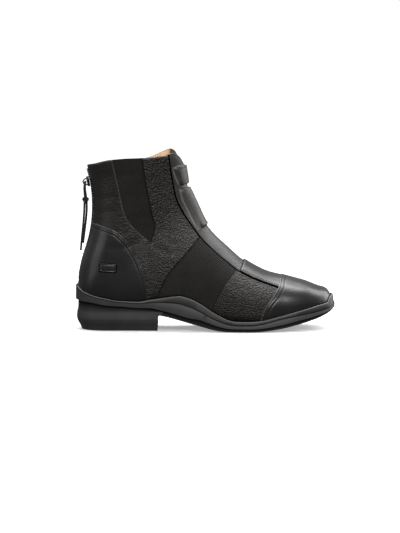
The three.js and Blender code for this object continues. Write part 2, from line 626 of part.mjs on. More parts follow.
// Where the slider sits: on the coil, leaning with the boot's back
const SLIDER_HEIGHT = share(SLIDER_PLACE, HEIGHT);
function sliderPlace() {
  const reach = SLIDER_LONG / 2;
  const rise = backLine(SLIDER_HEIGHT + reach) - backLine(SLIDER_HEIGHT - reach);
  const lean = Math.atan2(rise, SLIDER_LONG);
  const stand = backLine(SLIDER_HEIGHT) - COIL_RISE - 2 * CLEAR;
  return new THREE.Matrix4().makeRotationY(lean).setPosition(stand, 0, SLIDER_HEIGHT);
}
const [plate, bridge] = sliderSolid();
const slider = plate.add(bridge);

// The pull's leather thong hangs from the slider's bridge through a knot, in two tails. x, y and z.
const PULL_TOP_LONG = [
  [11, -0.3, 160.1], [10.9, -2.3, 159.7], [10.4, -3.1, 157.2], [10, -2.6, 152], [10.5, -1.6, 144.5],
];
const PULL_TOP_SHORT = [
  [11, 0.3, 160.1], [10.9, 2.3, 159.7], [10.5, 3.1, 157.2], [10.4, 2.6, 152], [11.5, 1.6, 144.5],
];
const PULL_TAIL_LONG = [
  [10, -1.6, 136], [9.6, -2.1, 126], [8.4, -2.6, 112], [6.9, -2.6, 98], [5.8, -2.2, 85.5],
];
const PULL_TAIL_SHORT = [[12.2, 1.6, 136], [12, 2, 126], [10.2, 2.4, 110], [8, 2.2, 93]];
const KNOT_PLACE = [11.1, 0, 140.2];

function thong(rows, steps) {
  const path = new THREE.CatmullRomCurve3(rows.map((row) => new THREE.Vector3(...row)));
  const corners = Array.from({ length: 8 }, (_, i) => (i / 8) * 2 * Math.PI);
  const section = corners.map((turn) =>
    new THREE.Vector2(Math.cos(turn), Math.sin(turn)).multiplyScalar(THONG / 2));
  return solidOf(new THREE.ExtrudeGeometry(new THREE.Shape(section), { steps, extrudePath: path }));
}

function knotSolid() {
  const ball = new THREE.SphereGeometry(KNOT / 2, 12, 8);
  return solidOf(ball.scale(1, 1, 0.9).translate(...KNOT_PLACE));
}

function piece(name, made, colour, roughness, metalness = 0) {
  const { vertProperties, triVerts, numProp } = made.getMesh();
  const geometry = new THREE.BufferGeometry();
  const count = vertProperties.length / numProp;
  const position = new Float32Array(count * 3);
  for (let i = 0; i < count; i += 1) {
    for (let axis = 0; axis < 3; axis += 1) position[3 * i + axis] = vertProperties[numProp * i + axis];
  }
  geometry.setAttribute("position", new THREE.BufferAttribute(position, 3));
  geometry.setIndex(new THREE.BufferAttribute(new Uint32Array(triVerts), 1));
  const finish = new THREE.MeshStandardMaterial({ color: colour, roughness, metalness });
  const mesh = new THREE.Mesh(geometry, finish);
  mesh.name = name;
  return mesh;
}

const BLACK = 0x161617;
const boot = new THREE.Group();
boot.add(piece("sole_unit", sole, 0x131313, 0.55));
boot.add(piece("upper", upper, BLACK, 0.5));
boot.add(piece("insole", insole, 0x8a6a45, 0.8));
boot.add(piece("toe_cap", toeCap, 0x121213, 0.25));
boot.add(piece("vamp_front", vampFront, 0x121213, 0.28));
boot.add(piece("front_panel", frontPanel, 0x121213, 0.3));
boot.add(piece("pad_top", padForm.intersect(padCutter(PAD_TOP)), BLACK, 0.5));
boot.add(piece("pad_low", padForm.intersect(padCutter(PAD_LOW)), BLACK, 0.5));
boot.add(piece("counter_outer", counter.intersect(outerHalf), 0x121213, 0.28));
boot.add(piece("counter_inner", counter.intersect(innerHalf), 0x121213, 0.28));
boot.add(piece("gore_outer", gore.intersect(outerHalf), 0x1c1917, 0.9));
boot.add(piece("gore_inner", gore.intersect(innerHalf), 0x1c1917, 0.9));
boot.add(piece("band_outer", band.intersect(outerHalf), 0x1a1a1b, 0.9));
boot.add(piece("band_inner", band.intersect(innerHalf), 0x1a1a1b, 0.9));
boot.add(piece("zip_tape", tape, 0x1b1b1c, 0.9));
boot.add(piece("zip_coil", coil, 0x101010, 0.4));
boot.add(piece("zip_stop", stop, 0x2a2a2c, 0.3, 1));
boot.add(piece("zip_slider", slider, 0x1f1f21, 0.3, 1));
boot.add(piece("pull_top_long", thong(PULL_TOP_LONG, 8), BLACK, 0.6));
boot.add(piece("pull_top_short", thong(PULL_TOP_SHORT, 8), BLACK, 0.6));
boot.add(piece("pull_knot", knotSolid(), BLACK, 0.6));
boot.add(piece("pull_tail_long", thong(PULL_TAIL_LONG, 9), BLACK, 0.6));
boot.add(piece("pull_tail_short", thong(PULL_TAIL_SHORT, 8), BLACK, 0.6));

boot.position.x = -(HEEL_ROUND + BREAST) / 2;

export default boot;
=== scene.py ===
# %% [markdown]
# A black leather paddock boot, standing on its sole.
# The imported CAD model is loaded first. It gives the size and the place of everything, and each piece made
# below stands for one of its solids. All sizes in this file are millimetres from the back of the sole,
# and to_frame turns them into the frame's metres.

# %% Load the frame
import math

import bpy
import numpy as np
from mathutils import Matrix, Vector


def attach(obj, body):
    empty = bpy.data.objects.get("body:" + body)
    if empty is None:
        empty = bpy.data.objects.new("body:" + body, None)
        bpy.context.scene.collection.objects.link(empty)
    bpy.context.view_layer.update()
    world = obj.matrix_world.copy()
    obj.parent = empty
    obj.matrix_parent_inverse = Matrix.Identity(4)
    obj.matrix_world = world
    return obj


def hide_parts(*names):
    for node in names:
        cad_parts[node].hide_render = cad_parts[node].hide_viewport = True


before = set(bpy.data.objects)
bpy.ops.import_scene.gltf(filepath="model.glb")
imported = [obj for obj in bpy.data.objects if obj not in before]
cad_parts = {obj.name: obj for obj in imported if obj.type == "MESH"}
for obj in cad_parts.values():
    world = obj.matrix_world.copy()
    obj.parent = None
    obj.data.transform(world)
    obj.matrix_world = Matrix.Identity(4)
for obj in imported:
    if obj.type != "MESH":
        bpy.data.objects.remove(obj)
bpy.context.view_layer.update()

ORIGIN = 48.05  # the frame's origin lies this far ahead of the back of the sole


def to_frame(points):
    """Millimetres from the back of the sole to metres in the frame."""
    moved = np.array(points, float)
    moved[..., 0] -= ORIGIN
    return moved / 1000


# %% [markdown]
# The camera comes first, so that every later step can be judged through it.
# The photograph was taken from far off, a little above the boot, so a long lens stands two metres away.
# A shorter lens nearer by would show more of the collar's inside and swell the ball of the foot.

# %% Camera
CAMERA_PLACE = (0.088, -2.0, 0.2344)
CAMERA_AIM = (0.088, 0.0, 0.0674)
LENS = 123.8  # millimetres on a 36 mm sensor


def aimed(place, aim):
    """The turn that points a camera or a lamp from its place at its aim."""
    return (Vector(aim) - Vector(place)).to_track_quat("-Z", "Y").to_euler()


bpy.ops.object.select_all(action="DESELECT")
bpy.ops.object.camera_add(location=CAMERA_PLACE)
camera = bpy.context.active_object
camera.name = "camera"
camera.data.lens = LENS
camera.data.sensor_width = 36
camera.data.clip_end = 50
camera.rotation_euler = aimed(CAMERA_PLACE, CAMERA_AIM)
bpy.context.scene.camera = camera
print("camera", tuple(round(v, 3) for v in camera.location))

# %% [markdown]
# A shoe is photographed on a white sweep under large soft lamps, and so is this one.
# A very soft sun lights the floor evenly, as a ceiling of light does, and a fainter one fills the shadows.
# Four large lamps draw the highlights: one overhead for toe and instep, one at each side, and one in front
# for the leather that faces the camera. One small lamp would give hard shadows and hot spots.
# The floor stays out of bounced and mirrored light, and the backdrop is white for the camera alone, because
# so much white all round would turn the black leather grey.

# %% Floor and light
LAMPS = {
    # name: place, aim, size, watts
    "lamp_above": ((0.24, 0.36, 1.5), (0.12, 0, 0), (1.5, 0.55), 16),
    "lamp_left": ((-1.6, -1.1, 0.8), (0.05, 0, 0.1), (1.3, 1.3), 6),
    "lamp_right": ((1.35, 0.6, 0.72), (0.10, 0, 0.1), (0.8, 1.3), 13),
    "lamp_front": ((0.5, -2.1, 1.3), (0.08, 0, 0.09), (1.6, 0.8), 27),
}
SUNS = {
    # name: strength, angle and tilt in degrees
    "daylight": (2.0, 70, -14),
    "fill": (0.5, 168, 0),
}
FLOOR_SIZE, FLOOR_PLACE = 24, (0.09, 0, -0.0004)
ROOM_LIGHT = 0.13

bpy.ops.object.select_all(action="DESELECT")
bpy.ops.mesh.primitive_plane_add(size=FLOOR_SIZE, location=FLOOR_PLACE)
floor = bpy.context.active_object
floor.name = "floor"
floor.visible_diffuse = False
floor.visible_glossy = False
for name, (strength, angle, tilt) in SUNS.items():
    bpy.ops.object.light_add(type="SUN", location=(0, 0, 3), rotation=(math.radians(tilt), 0, 0))
    sun = bpy.context.active_object
    sun.name = name
    sun.data.energy = strength
    sun.data.angle = math.radians(angle)
for name, (place, aim, size, watts) in LAMPS.items():
    bpy.ops.object.light_add(type="AREA", location=place)
    lamp = bpy.context.active_object
    lamp.name = name
    lamp.data.shape = "RECTANGLE"
    lamp.data.size, lamp.data.size_y = size
    lamp.data.energy = watts
    lamp.visible_camera = False
    lamp.rotation_euler = aimed(place, aim)

world = bpy.data.worlds.new("studio")
bpy.context.scene.world = world
world.use_nodes = True
sky = world.node_tree
room, paper = sky.nodes["Background"], sky.nodes.new("ShaderNodeBackground")
for backdrop, strength in ((room, ROOM_LIGHT), (paper, 1.0)):
    backdrop.inputs["Color"].default_value = (1, 1, 1, 1)
    backdrop.inputs["Strength"].default_value = strength
seen = sky.nodes.new("ShaderNodeLightPath")
both = sky.nodes.new("ShaderNodeMixShader")
sky.links.new(seen.outputs["Is Camera Ray"], both.inputs[0])
sky.links.new(room.outputs[0], both.inputs[1])
sky.links.new(paper.outputs[0], both.inputs[2])
sky.links.new(both.outputs[0], sky.nodes["World Output"].inputs["Surface"])
bpy.context.scene.view_settings.view_transform = "Standard"

# %% [markdown]
# A material in Blender is a small graph of nodes, and writing it in Python takes the same three moves each
# time: add a node, set its sockets, join it to the next. Two helpers do all three, so that each finish
# below reads as a list of what it is made of.
# An effect that several finishes share is a node group with named sockets. The shader stays outside it.

# %% Helpers for materials
def join(tree, node, **sockets):
    """Links or sets sockets of a node, named with _ for a space, or by number as _0."""
    for key, value in sockets.items():
        socket = node.inputs[int(key[1:])] if key[1:].isdigit() else node.inputs[key.replace("_", " ")]
        if isinstance(value, bpy.types.NodeSocket):
            tree.links.new(value, socket)
        else:
            socket.default_value = value


def add_node(tree, kind, settings=None, **sockets):
    made = tree.nodes.new("ShaderNode" + kind)
    for key, value in (settings or {}).items():
        setattr(made, key, value)
    join(tree, made, **sockets)
    return made


def place_group(tree, group, **sockets):
    return add_node(tree, "Group", {"node_tree": group}, **sockets)


def new_group(name, inputs, outputs):
    """An empty node group and its two ends. inputs and outputs are name: kind."""
    tree = bpy.data.node_groups.new(name, "ShaderNodeTree")
    for way, sockets in (("INPUT", inputs), ("OUTPUT", outputs)):
        for key, kind in sockets.items():
            tree.interface.new_socket(key, in_out=way, socket_type="NodeSocket" + kind)
    return tree, tree.nodes.new("NodeGroupInput"), tree.nodes.new("NodeGroupOutput")


def new_material(name, **constants):
    made = bpy.data.materials.new(name)
    made.use_nodes = True
    shader = made.node_tree.nodes["Principled BSDF"]
    join(made.node_tree, shader, **constants)
    return made, made.node_tree, shader


def grey(value, warm=0.0):
    return (value * (1 + warm), value, value * (1 - warm), 1)


print("a warm grey", [round(v, 3) for v in grey(0.03, 0.1)])

# %% [markdown]
# Tumbled leather is a field of small pebbles with folds between them, a little longer one way than the
# other. Cells from a Voronoi texture give the pebbles, and a distorted noise breaks up their rows.
# Painting or photographing the grain would tie it to one size of boot, and cells scale freely.

# %% Leather grain, as a group
grain_group, grain_in, grain_out = new_group(
    "leather_grain",
    {"Vector": "Vector", "Cells": "Float", "Fine": "Float"},
    {"Pebbles": "Float", "Pores": "Float", "Mottle": "Float"},
)
warp = add_node(grain_group, "TexNoise", Vector=grain_in.outputs["Vector"], Scale=160.0, Detail=2.0)
shift = add_node(
    grain_group, "VectorMath", {"operation": "MULTIPLY_ADD"},
    _0=warp.outputs["Color"], _1=(0.0022, 0.0022, 0.0022), _2=grain_in.outputs["Vector"],
)
cells = add_node(
    grain_group, "TexVoronoi", {"feature": "SMOOTH_F1"},
    Vector=shift.outputs[0], Scale=grain_in.outputs["Cells"], Smoothness=0.35,
)
folds = add_node(
    grain_group, "MapRange", {"interpolation_type": "SMOOTHSTEP"},
    _0=cells.outputs["Distance"], _1=0.15, _2=0.85, _3=1.0, _4=0.0,
)
fine = add_node(
    grain_group, "TexNoise", Vector=grain_in.outputs["Vector"], Scale=grain_in.outputs["Fine"], Detail=4.0,
)
cloud = add_node(grain_group, "TexNoise", Vector=grain_in.outputs["Vector"], Scale=34.0, Detail=3.0)
join(grain_group, grain_out, Pebbles=folds.outputs[0], Pores=fine.outputs[0], Mottle=cloud.outputs[0])
print("group", grain_group.name, len(grain_group.nodes), "nodes")

# %% [markdown]
# Cut edges and folded edges show on every leather piece, and their light and shade are painted in: the raw
# edge, the furrow beside it and the gaps under other edges get painted shade, dead black with no shine, and
# a rounded edge gets a painted highlight in a lighter grey. Each piece carries two numbers at every point
# for this, one of painted shade and one of painted highlight, which are made with the piece itself, so the
# lines follow its seams exactly. The group also clouds tone and roughness a little, as wear does.

# %% Painted edge shade and highlight, with wear, as a group
wear_and_painted_light, wear_and_light_in, wear_and_light_out = new_group(
    "edge_wear_and_painted_light",
    {"Color": "Color", "Roughness": "Float", "Mottle": "Float", "Scuffs": "Float"},
    {"Color": "Color", "Roughness": "Float", "Open": "Float"},
)
painted_shade = add_node(wear_and_painted_light, "Attribute", {"attribute_name": "painted_shade"})
painted_highlight = add_node(wear_and_painted_light, "Attribute", {"attribute_name": "painted_highlight"})
tone = add_node(
    wear_and_painted_light, "MapRange", _0=wear_and_light_in.outputs["Mottle"], _1=0.3, _2=0.7, _3=0.75, _4=1.25,
)
clouded = add_node(
    wear_and_painted_light, "Mix", {"data_type": "RGBA", "blend_type": "MULTIPLY"},
    _0=1.0, _6=wear_and_light_in.outputs["Color"], _7=tone.outputs[0],
)
# painted highlight: a lighter grey where a rounded edge would catch the light
painted_highlight_mix = add_node(
    wear_and_painted_light, "Mix", {"data_type": "RGBA"},
    _0=painted_highlight.outputs["Fac"], _6=clouded.outputs[2], _7=(0.17, 0.165, 0.16, 1),
)
# painted shade: near black in furrows, in gaps and beside overlapping edges, where shade falls
painted_shade_black = add_node(
    wear_and_painted_light, "Mix", {"data_type": "RGBA"},
    _0=painted_shade.outputs["Fac"], _6=painted_highlight_mix.outputs[2], _7=(0.0015, 0.0015, 0.0015, 1),
)
scuffed = add_node(
    wear_and_painted_light, "Math", {"operation": "MULTIPLY_ADD"},
    _0=wear_and_light_in.outputs["Mottle"], _1=wear_and_light_in.outputs["Scuffs"], _2=wear_and_light_in.outputs["Roughness"],
)
# where shade is painted, the surface is made matte as well
dull = add_node(
    wear_and_painted_light, "MapRange", _0=painted_shade.outputs["Fac"], _1=0.0, _2=1.0, _3=scuffed.outputs[0], _4=0.95,
)
# only the part without painted shade keeps its shine
open_part = add_node(wear_and_painted_light, "Math", {"operation": "SUBTRACT"}, _0=1.0, _1=painted_shade.outputs["Fac"])
join(wear_and_painted_light, wear_and_light_out, Color=painted_shade_black.outputs[2], Roughness=dull.outputs[0], Open=open_part.outputs[0])


def finish_surface(tree, shader, worn_and_lit, level, coat, bump):
    """Join the colour with its painted shade and highlight, the roughness and the bump to the shader. Where
    shade is painted, the shine is taken away too.
    """
    shine = add_node(tree, "Math", {"operation": "MULTIPLY"}, _0=worn_and_lit.outputs["Open"], _1=level)
    polish = add_node(tree, "Math", {"operation": "MULTIPLY"}, _0=worn_and_lit.outputs["Open"], _1=coat)
    join(tree, shader, Specular_IOR_Level=shine.outputs[0], Coat_Weight=polish.outputs[0],
         Base_Color=worn_and_lit.outputs["Color"], Roughness=worn_and_lit.outputs["Roughness"], Normal=bump.outputs[0])


print("group", wear_and_painted_light.name, len(wear_and_painted_light.nodes), "nodes")

# %% [markdown]
# Vamp and quarters are tumbled grain leather, toe cap and counters are smooth and polished, the front panel
# and the shin pads are duller and softer, and the lining is tan. One recipe makes them all, with its own
# size of grain, depth and gloss for each. On the grain leather the pebbles turn to drawn-out lines towards
# the heel, as the hide is stretched there.

# %% Leathers
PORES = 2600.0  # the fine grain that all leathers share


def leather(name, colour, rough, cells, depth, fine_depth, scuffs=0.12, coat=0.0, coat_rough=0.2,
            gloss=0.5, stretch=(1, 1, 1), lines=None):
    made, tree, shader = new_material(name, Coat_Roughness=coat_rough)
    where = add_node(tree, "TexCoord").outputs["Object"]
    turned = add_node(tree, "Mapping", Vector=where, Scale=stretch)
    grain = place_group(tree, grain_group, Vector=turned.outputs[0], Cells=cells, Fine=PORES)
    pebbles = grain.outputs["Pebbles"]
    if lines:
        drawn = add_node(tree, "Mapping", Vector=where, Scale=lines["stretch"])
        rows = add_node(tree, "TexNoise", Vector=drawn.outputs[0], Scale=1.0, Detail=2.5, Distortion=0.4)
        part = add_node(tree, "SeparateXYZ", Vector=where)
        ahead = add_node(
            tree, "MapRange", {"interpolation_type": "SMOOTHSTEP"},
            _0=part.outputs[0], _1=lines["from"], _2=lines["to"], _3=0.0, _4=1.0,
        )
        pebbles = add_node(
            tree, "Mix", _0=ahead.outputs[0], _2=rows.outputs[0], _3=grain.outputs["Pebbles"]).outputs[0]
    worn_and_lit = place_group(
        tree, wear_and_painted_light, Color=colour, Roughness=rough, Mottle=grain.outputs["Mottle"], Scuffs=scuffs)
    coarse = add_node(tree, "Bump", Strength=1.0, Distance=depth, Height=pebbles)
    small = add_node(
        tree, "Bump", Strength=1.0, Distance=fine_depth, Height=grain.outputs["Pores"],
        Normal=coarse.outputs[0])
    finish_surface(tree, shader, worn_and_lit, gloss, coat, small)
    return made


grain_leather = leather(
    "grain_leather", grey(0.009, 0.3), 0.36, 600.0, 0.00052, 0.00005, gloss=0.5, stretch=(0.8, 0.9, 1.05),
    lines={"stretch": (210.0, 210.0, 620.0), "from": 0.018, "to": 0.036})
smooth_leather = leather(
    "smooth_leather", grey(0.005), 0.30, 500.0, 0.00005, 0.000015,
    scuffs=0.14, coat=0.45, coat_rough=0.22)
panel_leather = leather(
    "panel_leather", grey(0.032), 0.40, 500.0, 0.00009, 0.00002, scuffs=0.14, coat=0.25, coat_rough=0.38)
matte_leather = leather(
    "matte_leather", grey(0.030, 0.1), 0.52, 700.0, 0.00012, 0.00004,
    scuffs=0.10, coat=0.3, coat_rough=0.32)
lining_leather = leather(
    "lining_leather", (0.86, 0.61, 0.40, 1), 0.72, 500.0, 0.0001, 0.00004, scuffs=0.08)
print("leathers", 5)

# %% [markdown]
# Elastic webbing is woven: fine ribs run along it, and the threads between them cross at a slant.
# Two wave textures give ribs and threads. A Mapping node turns them, so each web runs the way the real one
# does. The cloth is dull, and a little sheen lifts its edges as loose fibres do.

# %% Elastic, zip tape, thread
def woven(name, colour, turn, ribs, threads, depth, sheen=0.25):
    made, tree, shader = new_material(name, Sheen_Weight=sheen, Sheen_Roughness=0.45)
    where = add_node(tree, "TexCoord").outputs["Object"]
    turned = add_node(tree, "Mapping", Vector=where, Rotation=turn)
    rib, thread = [
        add_node(tree, "TexWave", {"bands_direction": way}, Vector=turned.outputs[0], Scale=scale,
                 Distortion=bend, Detail=1.0, Detail_Scale=3.0)
        for way, scale, bend in (("X", ribs, 0.6), ("Z", threads, 0.8))]
    cross = add_node(tree, "Math", {"operation": "MULTIPLY_ADD"},
                     _0=thread.outputs["Fac"], _1=0.45, _2=rib.outputs["Fac"])
    cloud = add_node(tree, "TexNoise", Vector=where, Scale=60.0, Detail=3.0)
    shade = add_node(tree, "MapRange", _0=cross.outputs[0], _1=0.2, _2=1.3, _3=0.55, _4=1.2)
    tinted = add_node(tree, "Mix", {"data_type": "RGBA", "blend_type": "MULTIPLY"},
                      _0=1.0, _6=colour, _7=shade.outputs[0])
    worn_and_lit = place_group(
        tree, wear_and_painted_light, Color=tinted.outputs[2], Roughness=0.78, Mottle=cloud.outputs[0], Scuffs=0.12)
    raised = add_node(tree, "Bump", Strength=1.0, Distance=depth, Height=cross.outputs[0])
    finish_surface(tree, shader, worn_and_lit, 0.25, 0.0, raised)
    return made


GORE_TURN = (0, math.radians(-10), 0)
BAND_TURN = (0, math.radians(52), 0)
gore_elastic = woven("gore_elastic", (0.020, 0.0175, 0.0155, 1), GORE_TURN, 170.0, 230.0, 0.0003)
band_elastic = woven("band_elastic", (0.021, 0.019, 0.0175, 1), BAND_TURN, 170.0, 230.0, 0.0003)
zip_fabric = woven("zip_fabric", grey(0.008), (0, 0, 0), 420.0, 620.0, 0.0002, 0.0)
thread_black = woven("thread_black", grey(0.03), (0, math.radians(35), 0), 900.0, 900.0, 0.00008, 0.1)
print("woven finishes", 4)

# %% [markdown]
# The sole is moulded rubber, dull black and slightly dusty, so its roughness varies in clouds. The zip's
# coil is nylon, and its slider and stop are blackened metal. The floor is white board that glows faintly,
# as a light table does, so the shadow on it stays soft.

# %% Rubber, plastic, metal, floor
def plain(name, colour, rough, depth=0.00002, size=900.0, metal=0.0, level=0.5, swing=0.15):
    made, tree, shader = new_material(name, Metallic=metal)
    where = add_node(tree, "TexCoord").outputs["Object"]
    speck = add_node(tree, "TexNoise", Vector=where, Scale=size, Detail=4.0)
    cloud = add_node(tree, "TexNoise", Vector=where, Scale=40.0, Detail=3.0)
    worn_and_lit = place_group(
        tree, wear_and_painted_light, Color=colour, Roughness=rough, Mottle=cloud.outputs[0], Scuffs=swing)
    raised = add_node(tree, "Bump", Strength=1.0, Distance=depth, Height=speck.outputs[0])
    finish_surface(tree, shader, worn_and_lit, level, 0.0, raised)
    return made


sole_rubber = plain("sole_rubber", grey(0.038), 0.45, 0.00008, 900.0)
zip_plastic = plain("zip_plastic", grey(0.007), 0.55, level=0.25)
zip_metal = plain("zip_metal", grey(0.05), 0.34, 0.00001, 2000.0, metal=1.0)
thong_leather = plain("thong_leather", grey(0.016, 0.1), 0.5, 0.00008, 1100.0)
insole_leather = plain("insole_leather", (0.34, 0.21, 0.11, 1), 0.7, 0.00006, 1500.0)
floor_board = plain("floor_board", (0.93, 0.93, 0.93, 1), 0.85, 0.000001, 50.0, swing=0.0, level=0.1)
board = floor_board.node_tree.nodes["Principled BSDF"]
board.inputs["Emission Color"].default_value = (1, 1, 1, 1)
board.inputs["Emission Strength"].default_value = 0.32
floor.data.materials.append(floor_board)
print("plain finishes", 6)

# %% [markdown]
# The sole's shape is given by two tables, of its outline from above and of its lines seen from the side.
# They are the ones that the CAD model has, so what is built here fits it, and every row is in percent of
# the boot's own sizes. A smooth curve through the rows gives any place between them.

# %% The sole's outline and side lines
LENGTH, HEIGHT = 284.0, 190.0
BALL_WIDTH, HEEL_WIDTH, COLLAR_WIDTH = 95.0, 68.0, 76.0
HEEL_LIFT, BREAST, SOLE_THICK, TOE_SPRING = 18.0, 89.5, 8.0, 20.0
CUP, SHELF, TUCK, GROOVE, HEEL_ROUND, BREAST_FILLET = 10.0, 2.6, 6.0, 0.9, 6.6, 6.0
EDGE, LIP, SINK = 1.4, 1.0, 5.0
HEEL_END, TOE_START, HEEL_POWER, TOE_POWER = 13.0, 80.0, 2.15, 2.3


def steady_curve(xs, ys):
    """A curve through rows that never overshoots them."""
    xs, ys = np.array(xs, float), np.array(ys, float)
    slopes = np.diff(ys) / np.diff(xs)
    inner = [0.0 if a * b <= 0 else 2 * a * b / (a + b) for a, b in zip(slopes, slopes[1:])]
    ends = np.array([slopes[0], *inner, slopes[-1]])

    def value(x):
        x = np.asarray(x, float)
        i = np.clip(np.searchsorted(xs, x) - 1, 0, len(xs) - 2)
        step = xs[i + 1] - xs[i]
        t = (x - xs[i]) / step
        u = 1 - t
        rise = ys[i] * (1 + 2 * t) * u * u + ys[i + 1] * (3 - 2 * t) * t * t
        return rise + step * (ends[i] * t * u * u - ends[i + 1] * t * t * u)

    return value


def round_end(start, power):
    return (1 - np.clip(start, 0, 1) ** power) ** (1 / power)


OUTLINE = np.array([
    # place, heel, ball, shift, all in percent
    [0, 100, 0, 0], [12, 100, 0, 0], [25, 99, 0, -1], [34, 85, 11, -3], [43, 55, 35, -7], [52, 25, 65, -8],
    [62, 5, 92, -5], [70, 0, 100, -1], [80, 0, 94, 3], [90, 0, 88, 8], [100, 0, 82, 12],
], float)
heel_part, ball_part, shift_part = [steady_curve(OUTLINE[:, 0], OUTLINE[:, c]) for c in (1, 2, 3)]


def half_width(place):
    return heel_part(place) / 200 * HEEL_WIDTH + ball_part(place) / 200 * BALL_WIDTH


def middle(place):
    return shift_part(place) / 200 * BALL_WIDTH


def outline_point(place, side):
    heel = round_end((HEEL_END - place) / HEEL_END, HEEL_POWER)
    toe = round_end((place - TOE_START) / (100 - TOE_START), TOE_POWER)
    return np.stack([place / 100 * LENGTH, middle(place) + side * half_width(place) * heel * toe], -1)


SIDE = np.array([
    # place, lift, spring, seat, rim, step, groove, shelf, cut, tuck, all in percent
    [0, 100, 0, 112, 220, 47, 92, 100, 0, 60], [3, 100, 0, 112, 159, 54, 92, 100, 0, 60],
    [7, 100, 0, 112, 115, 60, 92, 100, 0, 60], [12, 100, 0, 112, 83, 57, 91, 100, 0, 60],
    [17, 100, 0, 110, 59, 60, 90, 100, 0, 60], [24, 100, 0, 101, 58, 52, 86, 100, 0, 60],
    [29, 96, 0, 101, 86, 46, 82, 100, 20, 80], [33, 89, 0, 101, 116, 34, 78, 95, 60, 100],
    [37, 74, 0, 114, 149, 27, 74, 85, 100, 100], [41, 57, 0, 121, 181, 23, 69, 75, 100, 100],
    [44, 44, 0, 124, 177, 24, 68, 60, 100, 95], [48, 28, 0, 122, 154, 31, 66, 35, 100, 85],
    [52, 12, 0, 121, 108, 33, 65, 12, 100, 70], [55.5, 3, 0, 117, 72, 33, 65, 0, 100, 60],
    [59, 0, 0, 105, 44, 33, 65, 0, 100, 55], [62, 0, 0, 98, 37, 33, 64, 0, 100, 50],
    [67, 0, 0, 94, 40, 33, 64, 0, 100, 50], [71, 0, 2, 92, 46, 33, 70, 0, 100, 50],
    [78, 0, 14, 90, 69, 33, 76, 0, 100, 50], [85, 0, 35, 84, 82, 33, 70, 0, 100, 50],
    [92, 0, 60, 77, 86, 30, 58, 0, 100, 50], [97.2, 0, 84, 62, 84, 28, 50, 0, 100, 50],
    [98.5, 0, 92, 58, 125, 24, 45, 0, 100, 50], [100, 0, 100, 55, 135, 24, 48, 0, 100, 55],
], float)
side_line = [steady_curve(SIDE[:, 0], SIDE[:, c]) for c in range(1, 10)]


def underside(place):
    return side_line[0](place) / 100 * HEEL_LIFT + side_line[1](place) / 100 * TOE_SPRING


def seat(place):
    return underside(place) + side_line[2](place) / 100 * SOLE_THICK


def rim(place):
    return seat(place) + side_line[3](place) / 100 * CUP


def between(percent, place):
    return underside(place) + percent / 100 * (rim(place) - underside(place))


def step_line(place):
    return between(side_line[4](place), place)


def groove_line(place):
    return between(side_line[5](place), place)


print("rim at the heel", round(float(rim(0)), 1), "at the toe", round(float(rim(100)), 1))

# %% [markdown]
# The boot's form is its last: the wooden foot that the upper is pulled over. Its sections start at the
# toe's tip, stand upright along the foot, turn about the ankle and end level above the collar.
# Sculpting it by hand would drift from the CAD, so it is lofted in code from the same table of sections.

# %% The last
LAST = np.array([
    # topX, topZ, lowX, rise, foot, collar, outer, inner, topPower, lowPower
    [98.3, 22.6, 98.3, 0, 93, 0, 45, 46, 2.3, 3.0], [93.7, 23.7, 93.7, 0, 94, 0, 42, 45, 2.3, 3.1],
    [89.1, 26.4, 89.1, 0, 94, 0, 40, 45, 2.3, 3.3], [84.5, 28.4, 84.5, 0, 94.5, 0, 38, 44, 2.25, 3.4],
    [79.9, 30.3, 79.9, 0, 95, 0, 37, 43, 2.2, 3.5], [75.3, 31.9, 75.3, 0, 96.5, 0, 36, 42, 2.15, 3.5],
    [70.7, 34.7, 70.7, 0, 97.5, 0, 36, 42, 2.1, 3.5], [66.1, 38.6, 66.1, 0, 98, 0, 37, 43, 2.05, 3.5],
    [63.4, 41.4, 60.6, 0, 98.5, 0, 39, 45, 2.0, 3.4], [60.7, 45.0, 54.6, 0, 101, 0, 43, 48, 1.95, 3.2],
    [57.5, 49.4, 48.6, 0, 101, 0, 46, 50, 1.9, 3.0], [54.2, 53.9, 41.5, 0, 101, 0, 49, 51, 1.9, 2.7],
    [51.4, 58.6, 33.5, 0, 98, 0, 47, 48, 1.9, 2.8], [49.2, 63.2, 23.9, 0, 96, 0, 42, 44, 1.9, 3.6],
    [47.7, 67.9, 13.4, 0, 95, 0, 38, 39, 1.9, 4.1], [46.4, 72.2, 6.0, 1.2, 94, 0, 34, 35, 1.92, 3.3],
    [45.3, 75.6, 2.3, 6.2, 94, 0, 32, 33, 1.95, 3.0], [44.4, 78.6, 1.3, 14.7, 93, 1, 32, 32, 1.97, 2.4],
    [43.6, 81.4, 1.9, 23.2, 76, 16, 34, 34, 2.0, 2.25], [43.1, 84.2, 3.1, 30.5, 56, 34, 36, 36, 2.0, 2.2],
    [42.8, 87.1, 4.5, 36.9, 40, 49, 37, 37, 2.0, 2.2], [42.5, 89.7, 5.7, 43.7, 26, 62, 38, 38, 2.0, 2.2],
    [42.3, 92.1, 6.5, 51.0, 14, 74, 39, 39, 2.0, 2.2], [42.2, 94.3, 6.8, 58.9, 6, 83, 40, 40, 2.0, 2.2],
    [42.1, 96.5, 6.6, 66.3, 2, 89, 41, 41, 2.05, 2.2], [42.0, 98.9, 6.0, 73.2, 0, 93, 42, 42, 2.1, 2.2],
    [41.9, 101.4, 4.9, 79.6, 0, 96, 42, 42, 2.1, 2.2], [41.8, 104.2, 3.8, 85.6, 0, 98, 42, 42, 2.1, 2.2],
    [41.7, 107.4, 2.7, 91.5, 0, 100, 42, 42, 2.1, 2.2],
], float)
TIP_HEIGHT, TIP_ROUND, NOSE_POWER = 14.7, 3.3, 2.2


